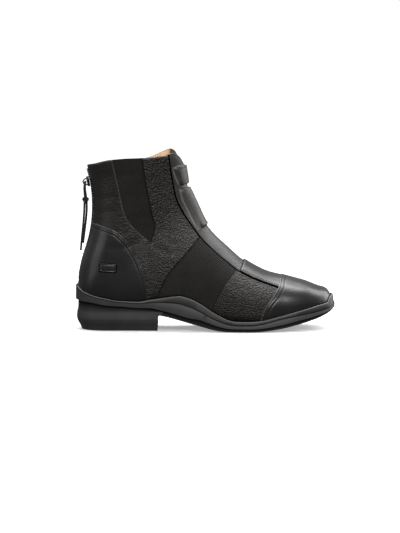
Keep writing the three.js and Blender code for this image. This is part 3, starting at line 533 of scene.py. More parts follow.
def spline_bends(rows):
    """Second differences of natural cubic splines through evenly spaced rows."""
    count = len(rows)
    system = np.eye(count)
    for i in range(1, count - 1):
        system[i, i - 1:i + 2] = 1, 4, 1
    target = np.zeros_like(rows)
    target[1:-1] = 6 * (rows[2:] - 2 * rows[1:-1] + rows[:-2])
    return np.linalg.solve(system, target)


LAST_BENDS = spline_bends(LAST)


def section(s):
    i = np.clip(np.floor(s).astype(int), 0, len(LAST) - 2)
    t = (s - i)[..., None]
    u = 1 - t
    curved = (u ** 3 - u) * LAST_BENDS[i] + (t ** 3 - t) * LAST_BENDS[i + 1]
    return np.moveaxis(u * LAST[i] + t * LAST[i + 1] + curved / 6, -1, 0)


def last_point(s, a):
    """Points of the last at section s and turn a: 0 low or back, a quarter outer, a half top or front."""
    top_x, top_z, low_x, rise, foot, collar, outer, inner, top_power, low_power = section(s)
    toe = round_end((low_x - TOE_START) / (LAST[0, 0] - TOE_START), TOE_POWER)
    nose = round_end((low_x - LAST[0, 0] + TIP_ROUND) / TIP_ROUND, NOSE_POWER)
    tip = TIP_HEIGHT / 100 * HEIGHT
    top = np.stack([top_x / 100 * LENGTH, tip + (top_z / 100 * HEIGHT - tip) * nose], -1)
    bottom = seat(low_x) - SINK
    low = np.stack([low_x / 100 * LENGTH, tip + (bottom - tip) * nose + rise / 100 * HEIGHT], -1)
    along, across = np.cos(2 * np.pi * a), np.sin(2 * np.pi * a)
    power = np.where(along > 0, low_power, top_power)
    reach = (np.abs(along) ** power + np.abs(across) ** power) ** (-1 / power)
    widest = np.where(across > 0, outer, inner) / 100
    t = np.where(along > 0, widest * (1 - reach * along), widest - (1 - widest) * reach * along)
    half = (foot / 100 * half_width(low_x) + collar / 200 * COLLAR_WIDTH) * toe
    point = low + (top - low) * t[..., None]
    return np.stack([point[..., 0], middle(low_x) - half * reach * across, point[..., 1]], -1)


def last_normal(s, a):
    along = last_point(s + 0.03, a) - last_point(np.maximum(s - 0.03, 0.002), a)
    around = last_point(s, a + 0.004) - last_point(s, a - 0.004)
    out = -np.cross(along, around)
    return out / np.linalg.norm(out, axis=-1, keepdims=True)


ROWS_TOE, ROWS_REST, RING = 34, 214, 232
rows = np.concatenate([
    3 * (1 - np.cos(np.linspace(0.004, 1, ROWS_TOE) * np.pi / 2)),
    np.linspace(3, len(LAST) - 1, ROWS_REST)[1:],
])
turns = np.arange(RING) / RING
grid_s, grid_a = np.meshgrid(rows, turns, indexing="ij")
skin_points = last_point(grid_s, grid_a).reshape(-1, 3)
skin_normals = last_normal(grid_s, grid_a).reshape(-1, 3)


def tube_faces(rows, count, closed=False):
    """Faces round a tube of rows, each of count points. A closed one joins its last row to its first."""
    faces = []
    for i in range(rows if closed else rows - 1):
        here, over = i * count, (i + 1) % rows * count
        faces += [(here + j, here + (j + 1) % count, over + (j + 1) % count, over + j) for j in range(count)]
    return faces


skin_quads = np.array(tube_faces(len(rows), RING))
print("skin grid", skin_points.shape[0], "points", [round(float(v), 1) for v in skin_points.max(0)])

# %% [markdown]
# The pieces of the upper are cut from that skin along their seams, as a cutter does with a knife on the
# last. Every seam is a smooth line in the side view. A field gives each point's distance to the line, and
# the skin is split exactly where the field has a wanted value, so edges and stitch rows run true.
# A boolean cut would leave ragged long triangles beside each seam, which show in glossy leather.

# %% Lines and the distance to them
percent = np.array([LENGTH / 100, HEIGHT / 100])
FAR_OFF = 50.0  # a distance past which nothing happens
STEEPEST = 0.08  # keeps distances finite where the skin turns away from the side view
BLOCK = 4000  # points measured at a time


def through(p, steps):
    """Points of a smooth curve through its knots p, of which the first and the last only steer it."""
    t = np.linspace(0, 1, steps, endpoint=False)[:, None]
    parts = []
    for p0, p1, p2, p3 in zip(p, p[1:], p[2:], p[3:]):
        v0, v1 = (p2 - p0) / 2, (p3 - p1) / 2
        cubic, square = 2 * p1 - 2 * p2 + v0 + v1, 3 * p2 - 3 * p1 - 2 * v0 - v1
        parts.append(cubic * t ** 3 + square * t ** 2 + v0 * t + p1)
    return np.vstack([*parts, p[-2:-1]])


def smooth_line(points):
    """The curve through side-view points, given in percent of length and height."""
    p = np.array(points, float) * percent
    return through(np.vstack([p[0], p, p[-1]]), 10)


def soft_step(value, low, high):
    t = np.clip((value - low) / (high - low), 0, 1)
    return t * t * (3 - 2 * t)


def hump(value, place, wide):
    return np.exp(-((value - place) / wide) ** 2)


def beside(line, closed=False):
    """Distance over the leather from a side-view line, positive on its left as it is drawn."""
    a, b = (line, np.roll(line, -1, 0)) if closed else (line[:-1], line[1:])
    step = b - a
    long = np.linalg.norm(step, axis=1)
    left = np.stack([-step[:, 1], step[:, 0]], 1) / long[:, None]
    low, high = np.zeros(len(a)), np.ones(len(a))
    if not closed:
        low[0], high[-1] = -1e9, 1e9
    flat = skin_points[:, [0, 2]]
    result = np.empty(len(flat))
    slope = np.empty(len(flat))
    for start in range(0, len(flat), BLOCK):
        p = flat[start:start + BLOCK, None]
        t = np.clip(((p - a) * step).sum(-1) / long ** 2, low, high)
        off = p - (a + t[..., None] * step)
        far = np.linalg.norm(off, axis=-1)
        near = far.argmin(1)
        row = np.arange(len(near))
        side = (off[row, near] * left[near]).sum(-1)
        if closed:
            x, z = p[..., 0], p[..., 1]
            crossing = (a[:, 1] > z) != (b[:, 1] > z)
            where = a[:, 0] + (z - a[:, 1]) * step[:, 0] / np.where(step[:, 1] == 0, 1e-9, step[:, 1])
            side = np.where((crossing & (x < where)).sum(1) % 2 == 1, 1.0, -1.0)
        result[start:start + BLOCK] = np.sign(side) * far[row, near]
        normal = skin_normals[start:start + BLOCK]
        slope[start:start + BLOCK] = (left[near] * normal[:, [0, 2]]).sum(-1)
    return result / np.sqrt(np.clip(1 - slope ** 2, STEEPEST, 1))


print("one percent is", percent.round(2), "mm")

# %% [markdown]
# These are the boot's seams in the side view, each a row of points in percent of length and height.
# The fields made from them are named for where they are positive: in_cap within the toe cap, in_front in
# front of the quarters' edge, under_collar below the collar's edge, above_seat over the sole.

# %% Seams and fields
CAP_SEAM = [
    [80, 38], [79.1, 31.6], [78.3, 28.9], [77.5, 24.8], [75.5, 20.3], [72.6, 14.5], [70.6, 7], [69.8, -2]]
COUNTER_EDGE = [
    [-4, 62.5], [6.4, 61.3], [11.3, 59.6], [16, 56.9], [19.1, 53.1], [21.4, 49.2], [24, 43], [25.9, 36.2],
    [27.8, 27.7], [28.7, 18.6], [29, 4]]
QUARTER_EDGE = [
    [35.7, 112], [36, 99.4], [37.3, 85.7], [38.9, 74.5], [41.8, 66], [45.2, 58.6], [48.7, 51.8],
    [53.6, 44.9], [57.8, 39.8], [62.4, 34.6], [66.9, 30.9], [71.5, 28], [79, 24]]
VAMP_STEP = [[65.6, 44], [64.9, 40.6], [64.1, 37], [62.4, 32]]
BAND_BACK = [[54, 60], [47.9, 53.5], [43.3, 45.3], [37.3, 35.3], [33.9, 27.4], [31.9, 19.2], [31, 8]]
BAND_FRONT = [[51.4, 2], [52.8, 13.4], [54.7, 19.7], [57.7, 27.9], [61.8, 34.9], [66, 41]]
GORE_BACK = [[14, 103], [14.8, 97.3], [17, 82.6], [20.3, 64], [28.6, 51.1]]
GORE_FRONT = [[29.4, 51.1], [30.9, 59], [29.8, 66.4], [27.6, 83.3], [26.1, 98.7], [25.7, 103]]
COLLAR = [
    [-4, 92.5], [4.3, 94], [11.7, 96.6], [14.8, 97.3], [26.1, 98.8], [33, 99.8], [36.4, 100], [38.4, 99.2],
    [40.2, 97.4], [41.8, 94.8], [43.4, 91.8], [48, 86]]
PAD_TOP = [[36.9, 92.8], [45.4, 95], [47, 84.6], [39.4, 82.1], [38.2, 86.8]]
PAD_LOW = [[39.7, 80.3], [47.2, 82.6], [56, 64], [50.4, 59.6], [46.6, 56.3], [44.2, 63.8], [40.9, 73.4]]
SHIN_SEAM = [[46, 62], [49.6, 59.2], [52.6, 63.4], [58, 68]]

in_cap, past_counter, in_front, in_vamp, in_shin, over_collar = [
    beside(smooth_line(seam))
    for seam in (CAP_SEAM, COUNTER_EDGE, QUARTER_EDGE, VAMP_STEP, SHIN_SEAM, COLLAR)]
band_back, band_front, gore_back, gore_front = [
    beside(smooth_line(seam)) for seam in (BAND_BACK, BAND_FRONT, GORE_BACK, GORE_FRONT)]
in_counter = -past_counter
in_band = np.minimum(band_back, band_front)
in_gore = np.minimum(gore_back, gore_front)
in_pad_top, in_pad_low = [beside(np.array(pad) * percent, closed=True) for pad in (PAD_TOP, PAD_LOW)]

# at the front the collar's far edge stands higher than the near one, and both come level in the middle
CREST = 16  # half the width over which the near edge turns into the far one
inner_side = np.clip(skin_points[:, 1] / CREST, -1, 1)
far_rise = np.interp(
    skin_points[:, 0],
    [14, 34, 76, 84, 96, 105, 109, 113, 118], [0, -2.4, -2.6, -1.0, 3.6, 6.2, 5.4, 1.6, -1.5])
near_drop = np.interp(skin_points[:, 0], [55, 80, 100, 104, 108, 116], [0, 1.3, 1.0, -0.8, -3.0, -3.6])
under_collar = -over_collar + inner_side * np.where(inner_side > 0, far_rise, near_drop)

ZIP_FOOT, TAPE_HALF, BACK_REACH = 52.06, 8.5, 34.0
zip_side = np.abs(skin_points[:, 1]) / np.sqrt(np.clip(1 - skin_normals[:, 1] ** 2, STEEPEST, 1))
beyond_zip = np.where(
    skin_points[:, 0] < BACK_REACH,
    np.maximum(zip_side - TAPE_HALF, ZIP_FOOT - skin_points[:, 2]), FAR_OFF)
place_on_sole = np.clip(skin_points[:, 0] / LENGTH * 100, 0, 100)
above_seat = skin_points[:, 2] - seat(place_on_sole) - 0.3
# painted shade on the upper just above the sole's rim, where the gap lies dark
rim_shadow = 0.95 * (1 - soft_step(skin_points[:, 2] - rim(place_on_sole), 0.4, 1.9))
print("collar edge moves by", round(float(far_rise.min()), 1), "to", round(float(far_rise.max()), 1))

# %% [markdown]
# Every panel is cut in the same way. The skin is kept where a field is positive, and its faces are split
# along that edge and again along each line that needs points of its own, such as a furrow's flanks.

# %% Helpers that cut the skin
def split(sheet, column, level):
    """Cuts the faces along one value of a column. Returns the points and the faces above and below it."""
    points, quads, others = sheet
    value = points[:, column] - level
    value[np.abs(value) < 1e-5] = 1e-5
    above = value > 0
    full = above[quads].sum(1)
    mixed = [tuple(f) for f in quads[(full > 0) & (full < 4)].tolist()] + others
    made, new, up, down = {}, [], [], []
    count = len(points)
    for face in mixed:
        flags = above[list(face)]
        if flags.all() or not flags.any():
            (up if flags.all() else down).append(face)
            continue
        over, under = [], []
        for i, j in zip(face, face[1:] + face[:1]):
            (over if above[i] else under).append(i)
            if above[i] != above[j]:
                key = (min(i, j), max(i, j))
                if key not in made:
                    t = value[key[0]] / (value[key[0]] - value[key[1]])
                    made[key] = count + len(new)
                    new.append(points[key[0]] * (1 - t) + points[key[1]] * t)
                over.append(made[key])
                under.append(made[key])
        up.append(tuple(over))
        down.append(tuple(under))
    points = np.vstack([points, new]) if new else points
    return points, (quads[full == 4], up), (quads[full == 0], down)


def cut_skin(keep, columns, splits):
    """The skin where every field of keep is positive, also split where a column has a given value."""
    sheet = np.column_stack([skin_points, skin_normals, np.minimum.reduce(keep), *columns])
    points, (quads, others), _ = split((sheet, skin_quads, []), 6, 0.0)
    for column, level in splits:
        points, up, down = split((points, quads, others), 7 + column, level)
        quads, others = np.vstack([up[0], down[0]]), up[1] + down[1]
    faces = [tuple(f) for f in quads.tolist()] + [f for f in others if len(set(f)) > 2]
    used = np.unique(np.concatenate([np.array(f) for f in faces]))
    back = np.full(len(points), -1)
    back[used] = np.arange(len(used))
    return points[used], [tuple(back[list(f)].tolist()) for f in faces]


print("skin", len(skin_quads), "faces")

# %% [markdown]
# A cut sheet is still without thickness. A second sheet under it and a wall round its edges close it, with
# all faces outwards. One helper then makes any piece from its points: it rides with the boot, takes the
# place of its CAD solids and gets its finish.

# %% Helpers that close and place a piece
SMOOTH_ANGLE = 50  # degrees under which the shading runs on over an edge


def shell(top, bottom, faces):
    """Closes an open sheet with its lower side and a wall along its edges."""
    count = len(top)
    edges = {(i, j) for f in faces for i, j in zip(f, f[1:] + f[:1])}
    rim_edges = [(i, j) for i, j in edges if (j, i) not in edges]
    closed = list(faces) + [tuple(i + count for i in reversed(f)) for f in faces]
    closed += [(j, i, i + count, j + count) for i, j in rim_edges]
    return np.vstack([top, bottom]), closed


def make_piece(name, points, faces, material, slot=None, nodes=(), numbers=None, smooth=SMOOTH_ANGLE):
    """A mesh object from millimetre points, riding with the boot."""
    mesh = bpy.data.meshes.new(name)
    mesh.from_pydata(to_frame(points).tolist(), [], faces)
    mesh.validate()
    for key, values in (numbers or {}).items():
        mesh.attributes.new(key, "FLOAT", "POINT").data.foreach_set("value", np.asarray(values, np.float32))
    piece = bpy.data.objects.new(name, mesh)
    bpy.context.scene.collection.objects.link(piece)
    mesh.materials.append(material)
    bpy.ops.object.select_all(action="DESELECT")
    piece.select_set(True)
    bpy.context.view_layer.objects.active = piece
    bpy.ops.object.shade_smooth_by_angle(angle=math.radians(smooth))
    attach(piece, "root")
    if nodes:
        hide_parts(*nodes)
    return piece


print("smooth under", SMOOTH_ANGLE, "degrees")

# %% [markdown]
# A panel is cut, lifted to its level and closed in one go. Its edge is rounded, its furrows are pressed in,
# and the numbers of painted shade and painted highlight that the finishes read are written at its points.

# %% Helper for a panel
SEAM_SPLIT = 0.25  # half the width over which a black edge ends
THINNEST = 0.15


def edge_drop(distance, radius):
    """How far a rounded edge has fallen at this distance from where it ends."""
    inside = np.clip(distance, 0, radius)
    return radius - np.sqrt(np.maximum(radius ** 2 - (radius - inside) ** 2, 0))


def panel(name, material, keep, level, thick, cut=None, radius=0.9, rise=None, marks=(), painted_shade=None,
          painted_highlight=None, slot=None, nodes=(), shade_strip=None):
    """keep are the fields that bound the panel, and cut is the distance to its visible edges. marks are
    (field, place, depth, half width, light) of furrows and of lines with a painted highlight, and
    shade_strip is (field, width) of a strip of painted shade along a cut edge."""
    blank = np.full(len(skin_points), FAR_OFF)
    cut = blank if cut is None else cut
    rise, painted_highlight = [blank * 0 if field is None else field for field in (rise, painted_highlight)]
    # every panel gets painted shade just above the sole's rim
    painted_shade = rim_shadow if painted_shade is None else np.maximum(painted_shade, rim_shadow)
    edge = shade_strip[0] if shade_strip else blank
    columns = [cut, rise, painted_shade, painted_highlight, *[mark[0] for mark in marks], edge]
    splits = [(0, radius * part) for part in (0.08, 0.3, 0.62, 1.0)] + [(0, radius + 0.7)]
    for i, (_, place, _, wide, *_) in enumerate(marks):
        splits += [(4 + i, place + wide * k) for k in (-1.3, -0.5, 0.5, 1.3)]
    if shade_strip:
        low, high = shade_strip[1] - SEAM_SPLIT, shade_strip[1] + SEAM_SPLIT
        splits += [(4 + len(marks), low), (4 + len(marks), high)]
    points, faces = cut_skin(keep, columns, splits)
    value = points[:, 7:]
    # a strip of painted shade along a cut edge
    if shade_strip:
        value[:, 2] = np.maximum(value[:, 2], 1 - soft_step(value[:, 4 + len(marks)], low, high))
    height = level + value[:, 1] - edge_drop(value[:, 0], radius)
    for i, (_, place, depth, wide, *light) in enumerate(marks):
        near = hump(value[:, 4 + i], place, wide)
        height -= depth * near
        # a mark with a light value paints a highlight along its line
        value[:, 3] = np.maximum(value[:, 3], sum(light) * near)
    top = points[:, :3] + points[:, 3:6] * height[:, None]
    bottom = points[:, :3] + points[:, 3:6] * np.minimum(level - thick, height - THINNEST)[:, None]
    points, faces = shell(top, bottom, faces)
    numbers = {"painted_shade": np.tile(value[:, 2], 2), "painted_highlight": np.tile(value[:, 3], 2)}
    piece = make_piece(name, points, faces, material, slot, nodes, numbers)
    print(name, len(piece.data.vertices), "points")
    return piece


print("rim shadow reaches", int((rim_shadow > 0).sum()), "points of the skin")

# %% [markdown]
# Leather keeps the marks of the making and of the first wear. Where the ankle bends, soft troughs run from
# the front edge towards the heel, with a ridge pushed up beside each. They are listed one by one, a line
# each, in the shoe's own sizes: place, direction, length, width and depth.
# Cloth simulation would crease the whole shaft, and this boot is nearly new.

# %% Creases
CREASES = [
    # x, z, direction in degrees, half length, half width, depth
    (104, 97, 158, 17, 3.4, 0.50), (99, 86, 164, 20, 4.2, 0.45), (112, 88, 150, 13, 2.8, 0.40),
    (95, 108, 160, 15, 3.8, 0.35), (168, 52, 128, 13, 3.6, 0.32), (176, 49, 122, 12, 3.0, 0.28),
    (186, 46, 118, 11, 3.2, 0.25), (60, 92, 20, 18, 5.0, 0.35), (34, 128, 8, 16, 4.5, 0.30),
    (31, 143, 4, 15, 4.0, 0.22), (96, 150, 84, 20, 5.5, 0.25), (126, 70, 140, 12, 3.4, 0.30),
]


CREASE_BOW, ANKLE = 0.012, 90  # creases bow away from the ankle's middle
creases = np.zeros(len(skin_points))
for x, z, turn, long, wide, depth in CREASES:
    c, s = math.cos(math.radians(turn)), math.sin(math.radians(turn))
    u = (skin_points[:, 0] - x) * c + (skin_points[:, 2] - z) * s
    v = -(skin_points[:, 0] - x) * s + (skin_points[:, 2] - z) * c
    v = v + CREASE_BOW * u * u * np.sign(x - ANKLE)
    creases += depth * hump(u, 0, long) * (0.55 * hump(v, 1.7 * wide, wide) - hump(v, 0, wide * 0.8))
print("creases", len(CREASES), "deepest", round(float(creases.min()), 2))

# %% [markdown]
# Quarters and vamp are one grain leather here, cut away where elastic, front panel and zip lie, so that
# these sit lower and the cut edges stand up round them. The sheet runs on a little under cap and counters.

# %% Quarters and vamp
edges = np.minimum.reduce([-in_front, -in_band, -in_gore, beyond_zip, under_collar])
# painted highlights along the gore's back edge and along the collar's edge
gore_back_highlight = 0.38 * hump(gore_back, -0.5, 0.55) * (in_gore > -3)
collar_highlight = 0.65 * hump(under_collar, 0.9, 0.5)
over_cap = 5 - in_cap
panel(
    "quarters", grain_leather, [edges, above_seat, over_cap, 5 - in_counter], 0.0, 1.3, cut=edges,
    radius=0.95, rise=creases, marks=[(-in_front, 2.6, 0.12, 0.45)],
    painted_highlight=np.maximum(gore_back_highlight, collar_highlight), slot="grain_leather", nodes=("upper",),
    # a strip of painted shade along the quarters' front edge
    shade_strip=(-in_front, 0.8))

# %% [markdown]
# The tan lining is a thin glove inside the black leather. It ends a little under the collar's edge, so the
# black turns over the top, and its tip at the far front edge is painted dark as shade. The footbed is a thin
# leather bed.

# %% Lining and insole
# painted shade on the lining's tip at the far front edge
far_tip_shade = soft_step(skin_points[:, 0], 103.5, 105) * (1 - soft_step(under_collar, 8, 9))
panel(
    "lining", lining_leather, [under_collar - 0.5, above_seat + 1], -2.0, 0.8,
    painted_shade=0.85 * far_tip_shade, slot="insole_leather")


BED_ROWS, BED_COLUMNS, BED_INSET, BED_HEIGHT, BED_THICK = 90, 15, 3.2, 3.2, 2.6
bed_places = 50 * (1 - np.cos(np.linspace(0.14, 0.92, BED_ROWS) * np.pi))
across = np.linspace(-1, 1, BED_COLUMNS)
low_skin = skin_points[np.abs(above_seat - BED_HEIGHT) < 0.9]
bed_sides = []
for side in (-1, 1):
    part = low_skin[low_skin[:, 1] * side > 0]
    part = part[part[:, 0].argsort()]
    reach = np.interp(bed_places / 100 * LENGTH, part[:, 0], np.abs(part[:, 1])) - BED_INSET
    bed_sides.append(reach[:, None])
bed_x = np.repeat(bed_places[:, None] / 100 * LENGTH, BED_COLUMNS, 1)
bed_y = np.where(across < 0, *bed_sides) * across
bed_z = np.repeat(seat(bed_places)[:, None] + BED_HEIGHT, BED_COLUMNS, 1)
bed_top = np.stack([bed_x, bed_y, bed_z], -1).reshape(-1, 3)
bed_faces = [
    (k, k + BED_COLUMNS, k + BED_COLUMNS + 1, k + 1)
    for i in range(BED_ROWS - 1) for k in range(i * BED_COLUMNS, (i + 1) * BED_COLUMNS - 1)]
make_piece(
    "insole_bed", *shell(bed_top, bed_top - (0, 0, BED_THICK), bed_faces), insole_leather, "insole_leather",
    ("insole",))

# %% [markdown]
# Elastic gore and band are let in lower than the leather. The gore widens towards the collar, and the band
# crosses the foot on a slant. Both are slack enough to belly out a little in their middle.

# %% Gore and band
waves = 0.15 * np.sin(skin_points[:, 2] * 0.55)
panel(
    "gores", gore_elastic, [in_gore + 3, under_collar, above_seat], -0.95, 0.8, cut=under_collar, radius=0.5,
    rise=0.5 * soft_step(in_gore, 0, 8) + waves * soft_step(in_gore, 0, 6),
    # painted shade along the gore's front edge, where it runs under the leather
    painted_shade=0.75 * (1 - soft_step(gore_front, 0.0, 1.7)),
    slot="gore_elastic", nodes=("gore_outer", "gore_inner"))
panel(
    "bands", band_elastic, [in_band + 3, -in_front, above_seat], -0.85, 0.8, cut=-in_front, radius=0.5,
    # painted shade along both edges of the band, where it runs under the leather
    rise=0.35 * soft_step(in_band, 0, 10), painted_shade=0.5 * (1 - soft_step(in_band, 0.0, 1.0)),
    slot="band_elastic", nodes=("band_outer", "band_inner"))

# %% [markdown]
# The front panel is smooth leather under the quarters' edges. Beside the edge lies a furrow with a strip of
# painted shade, and painted shade lies beside the step's edge too. A double seam crosses the panel below the
# lower pad, with painted highlights beside it and under the collar's edge.

# %% Front panel
panel(
    "front_panel_leather", panel_leather,
    [in_front + 3, np.maximum(4 - in_vamp, 5 - in_front), over_cap, under_collar, above_seat],
    -0.85, 0.8, cut=under_collar, radius=0.6,
    rise=0.25 * creases - 0.3 * (1 - soft_step(in_front, 1.2, 2.2)),
    marks=[(in_shin, 0.0, 0.35, 0.55), (under_collar, 2.4, 0.25, 0.45)],
    # painted shade beside the step's edge
    painted_shade=0.85 * (1 - soft_step(-in_vamp, 0.2, 1.2)),
    # painted highlights beside the shin seam and under the collar's edge
    painted_highlight=sum(light * hump(field, place, 0.5) for light, field, place in (
        (0.45, in_shin, 1.3), (0.45, in_shin, -1.3), (0.3, under_collar, 1.2))),
    # a strip of painted shade beside the quarters' edge
    slot="smooth_leather", nodes=("front_panel",), shade_strip=(in_front, 1.9))

# %% [markdown]
# Two soft pads lie over the shin, one above the other, with a notch between them that lets the ankle bend.
# Their sides are pulled in by the seam, so they are crowned in the middle, and a light streak is painted
# along the side's edge as a highlight. They are shaped in code, because the field beside each seam gives the
# crown its form.

# %% Shin pads
beside_shin = 1 - soft_step(in_front, 9, 14)
for pad_name, field in (("pad_top", in_pad_top), ("pad_low", in_pad_low)):
    edge = (1 - beside_shin) * soft_step(field, -0.4, 0.9) + beside_shin * soft_step(field, -0.4, 5.5)
    cushion = panel(
        pad_name + "_cushion", matte_leather, [field + 0.4, in_front - 3.6], -0.85, 0.6,
        rise=2.7 * np.minimum(soft_step(in_front, 3.4, 12.5), edge) + 0.25 * soft_step(field, 2, 8),
        # the second mark paints a light streak along the side's edge as a highlight
        marks=[(field, 0.3, 0.0, 0.6), (field + 20 * (1 - beside_shin), 1.7, 0.0, 0.8, 1.1)],
        slot="matte_leather", nodes=(pad_name,))

# %% [markdown]
# The step over the instep, the toe cap and the counters are polished leather laid over the rest. Each has a
# rounded edge with a painted highlight along it, and shallow furrows for its rows of stitches. The outer
# counter bears a small plain oblong patch, with a furrow inside its edge and a black line of painted shade
# round it.

# %% Overlays
step_edge = np.minimum(in_front - 1.6, in_vamp)
panel(
    "vamp_front_leather", smooth_leather, [step_edge, over_cap], 1.0, 1.5, cut=step_edge, radius=1.1,
    # painted highlight along the step's back edge
    marks=[(in_front, 4.2, 0.22, 0.5)], painted_highlight=0.38 * hump(in_vamp, 0.6, 0.5),
    slot="smooth_leather", nodes=("vamp_front",))
panel(
    "toe_cap_leather", smooth_leather, [in_cap, above_seat], 1.4, 1.3, cut=in_cap, radius=1.1,
    # painted highlight along the cap's edge
    marks=[(in_cap, 2.2, 0.28, 0.5), (in_cap, 5.6, 0.28, 0.5)], painted_highlight=0.5 * hump(in_cap, 0.8, 0.45),
    slot="smooth_leather", nodes=("toe_cap",))
PATCH_PLACE, PATCH_HALF, PATCH_ROUND, PATCH_TURN = (37.0, 68.6), (8.9, 4.5), 1.2, math.radians(-3)
c, s = math.cos(PATCH_TURN), math.sin(PATCH_TURN)
past = np.abs((skin_points[:, [0, 2]] - PATCH_PLACE) @ [[c, -s], [s, c]]) - PATCH_HALF + PATCH_ROUND
in_patch = PATCH_ROUND - np.linalg.norm(np.maximum(past, 0), axis=1) - np.minimum(past.max(axis=1), 0)
in_patch = np.where(skin_points[:, 1] < 0, in_patch, -FAR_OFF)
counter_edge = np.minimum(in_counter, beyond_zip)
panel(
    "counters", smooth_leather, [counter_edge, above_seat], 1.3, 1.2, cut=counter_edge, radius=1.1,
    marks=[(in_counter, 2.2, 0.25, 0.5), (in_counter, 5.0, 0.25, 0.5)],
    # painted highlight along the counters' edges
    rise=0.9 * creases, painted_highlight=0.45 * hump(in_counter, 0.9, 0.45),
    # a black line of painted shade round the patch
    slot="smooth_leather", nodes=("counter_outer", "counter_inner"), shade_strip=(-in_patch, 0.8))
panel(
    "counter_patch", smooth_leather, [in_patch], 2.0, 0.7, cut=in_patch, radius=0.5,
    marks=[(in_patch, 1.4, 0.25, 0.35)], slot="smooth_leather")

# %% [markdown]
# A row of stitches runs at a fixed distance beside its seam, which is where the seam's field has one value.
# Every face of the skin that this value crosses gives a short step, and the steps are joined into lines.

# %% Lines beside a seam
def rows_beside(field, place, keep):
    """Lines of points and normals where field is place and every field of keep is positive."""
    value = field - place
    above = value > 0
    full = above[skin_quads].sum(1)
    joins = {}
    for face in skin_quads[(full > 0) & (full < 4)].tolist():
        ends = [(min(i, j), max(i, j)) for i, j in zip(face, face[1:] + face[:1]) if above[i] != above[j]]
        if len(ends) == 2:
            joins.setdefault(ends[0], []).append(ends[1])
            joins.setdefault(ends[1], []).append(ends[0])
    lines = []
    left = set(joins)
    while left:
        start = next((k for k in left if len(joins[k]) == 1), None) or next(iter(left))
        line, here = [], start
        while here is not None:
            line.append(here)
            left.discard(here)
            here = next((k for k in joins[here] if k in left), None)
        if len(line) < 4:
            continue
        i, j = np.array(line).T
        t = (value[i] / (value[i] - value[j]))[:, None]
        both_ends = np.column_stack([skin_points, skin_normals, np.minimum.reduce(keep)])
        mixed = both_ends[i] * (1 - t) + both_ends[j] * t
        inside = mixed[:, 6] > 0
        breaks = np.flatnonzero(np.diff(inside.astype(int))) + 1
        lines += [part[:, :6] for part in np.split(mixed, breaks) if part[0, 6] > 0 and len(part) > 4]
    return lines


print("cap seam rows", [len(rows_beside(in_cap, place, [above_seat - 3])) for place in (2.2, 5.6)])

# %% [markdown]
# A stitch is a short thread that dips into the leather at both ends. One is modelled as a small pillow of
# six sides, and it is repeated along the lines, turned to run with each.
# Painted dashes would lie flat, and these catch the light one by one.

# %% Stitches
STITCH, PITCH = 1.75, 2.5
STITCH_ENDS = (-1, -0.82, -0.4, 0.4, 0.82, 1)
STITCH_WIDE = np.array([0.25, 0.8, 1, 1, 0.8, 0.25]) * 0.25
PILLOW_SIDES = 6
pillow = np.array([
    (e * STITCH / 2, w * math.cos(t) * 1.15, w * math.sin(t) + 0.16 * (1 - e * e) - 0.1)
    for e, w in zip(STITCH_ENDS, STITCH_WIDE) for t in np.arange(PILLOW_SIDES) / PILLOW_SIDES * 2 * np.pi])
pillow_faces = [*tube_faces(len(STITCH_ENDS), PILLOW_SIDES), (5, 4, 3, 2, 1, 0), tuple(range(30, 36))]


def sew(name, field, places, keep, height):
    """Stitches beside a seam, where field has the given places, at a height above the skin."""
    points, faces = [], []
    for line in [line for place in places for line in rows_beside(field, place, keep)]:
        place = line[:, :3] + line[:, 3:] * height
        far = np.concatenate([[0], np.cumsum(np.linalg.norm(np.diff(place, axis=0), axis=1))])
        for at in np.arange(PITCH / 2, far[-1] - STITCH / 2, PITCH):
            centre, ahead, before = [
                np.array([np.interp(at + d, far, place[:, c]) for c in range(3)]) for d in (0, 0.8, -0.8)]
            out = np.array([np.interp(at, far, line[:, 3 + c]) for c in range(3)])
            run = ahead - before
            run /= np.linalg.norm(run)
            out -= run * (out @ run)
            out /= np.linalg.norm(out)
            start = len(pillow) * len(points)
            points.append(centre + pillow @ np.stack([run, np.cross(out, run), out]))
            faces += [tuple(i + start for i in f) for f in pillow_faces]
    make_piece(name, np.vstack(points), faces, thread_black, smooth=60)
    print(name, len(points), "stitches")


sew("cap_stitches", in_cap, (2.2, 5.6), [above_seat - 3], 1.22)
sew("counter_stitches", in_counter, (2.2, 5.0), [beyond_zip - 1.5, above_seat - 3], 1.12)
sew("step_stitches", in_front, (4.2,), [in_vamp - 1.5, -in_cap - 1.0], 0.86)
sew("edge_stitches", -in_front, (2.6,), [under_collar - 2, -in_band - 1, -in_cap - 1], -0.1)
sew("shin_stitches", in_shin, (-2.2, 2.2), [in_front - 3, -in_vamp - 2, -in_pad_low - 1], -0.82)

# %% [markdown]
# The sole unit is one rubber moulding: a cup with a rounded lip, and a groove and a step round its side.
# It is built in rings, each the outline drawn in by its own amount at its own height, which is how its
# mould is drawn too. Extruding one outline by hand would lose the waist and the toe spring.

# %% Sole
def ring(inset, height, places):
    """One closed ring: heel, outer side, toe, inner side."""
    def side_points(side):
        near = outline_point(np.maximum(places - 0.05, 0), side)
        far = outline_point(np.minimum(places + 0.05, 100), side)
        run = (far - near) / np.linalg.norm(far - near, axis=1, keepdims=True)
        into = np.stack([-run[:, 1], run[:, 0]], 1) * (-side * inset(places))[:, None]
        return np.column_stack([outline_point(places, side) + into, height(places)])

    back, tip = np.array(0.0), np.array(100.0)
    heel = [[float(inset(back)), float(middle(0)), float(height(back))]]
    toe = [[LENGTH - float(inset(tip)), float(middle(100)), float(height(tip))]]
    return np.vstack([heel, side_points(-1), toe, side_points(1)[::-1]])


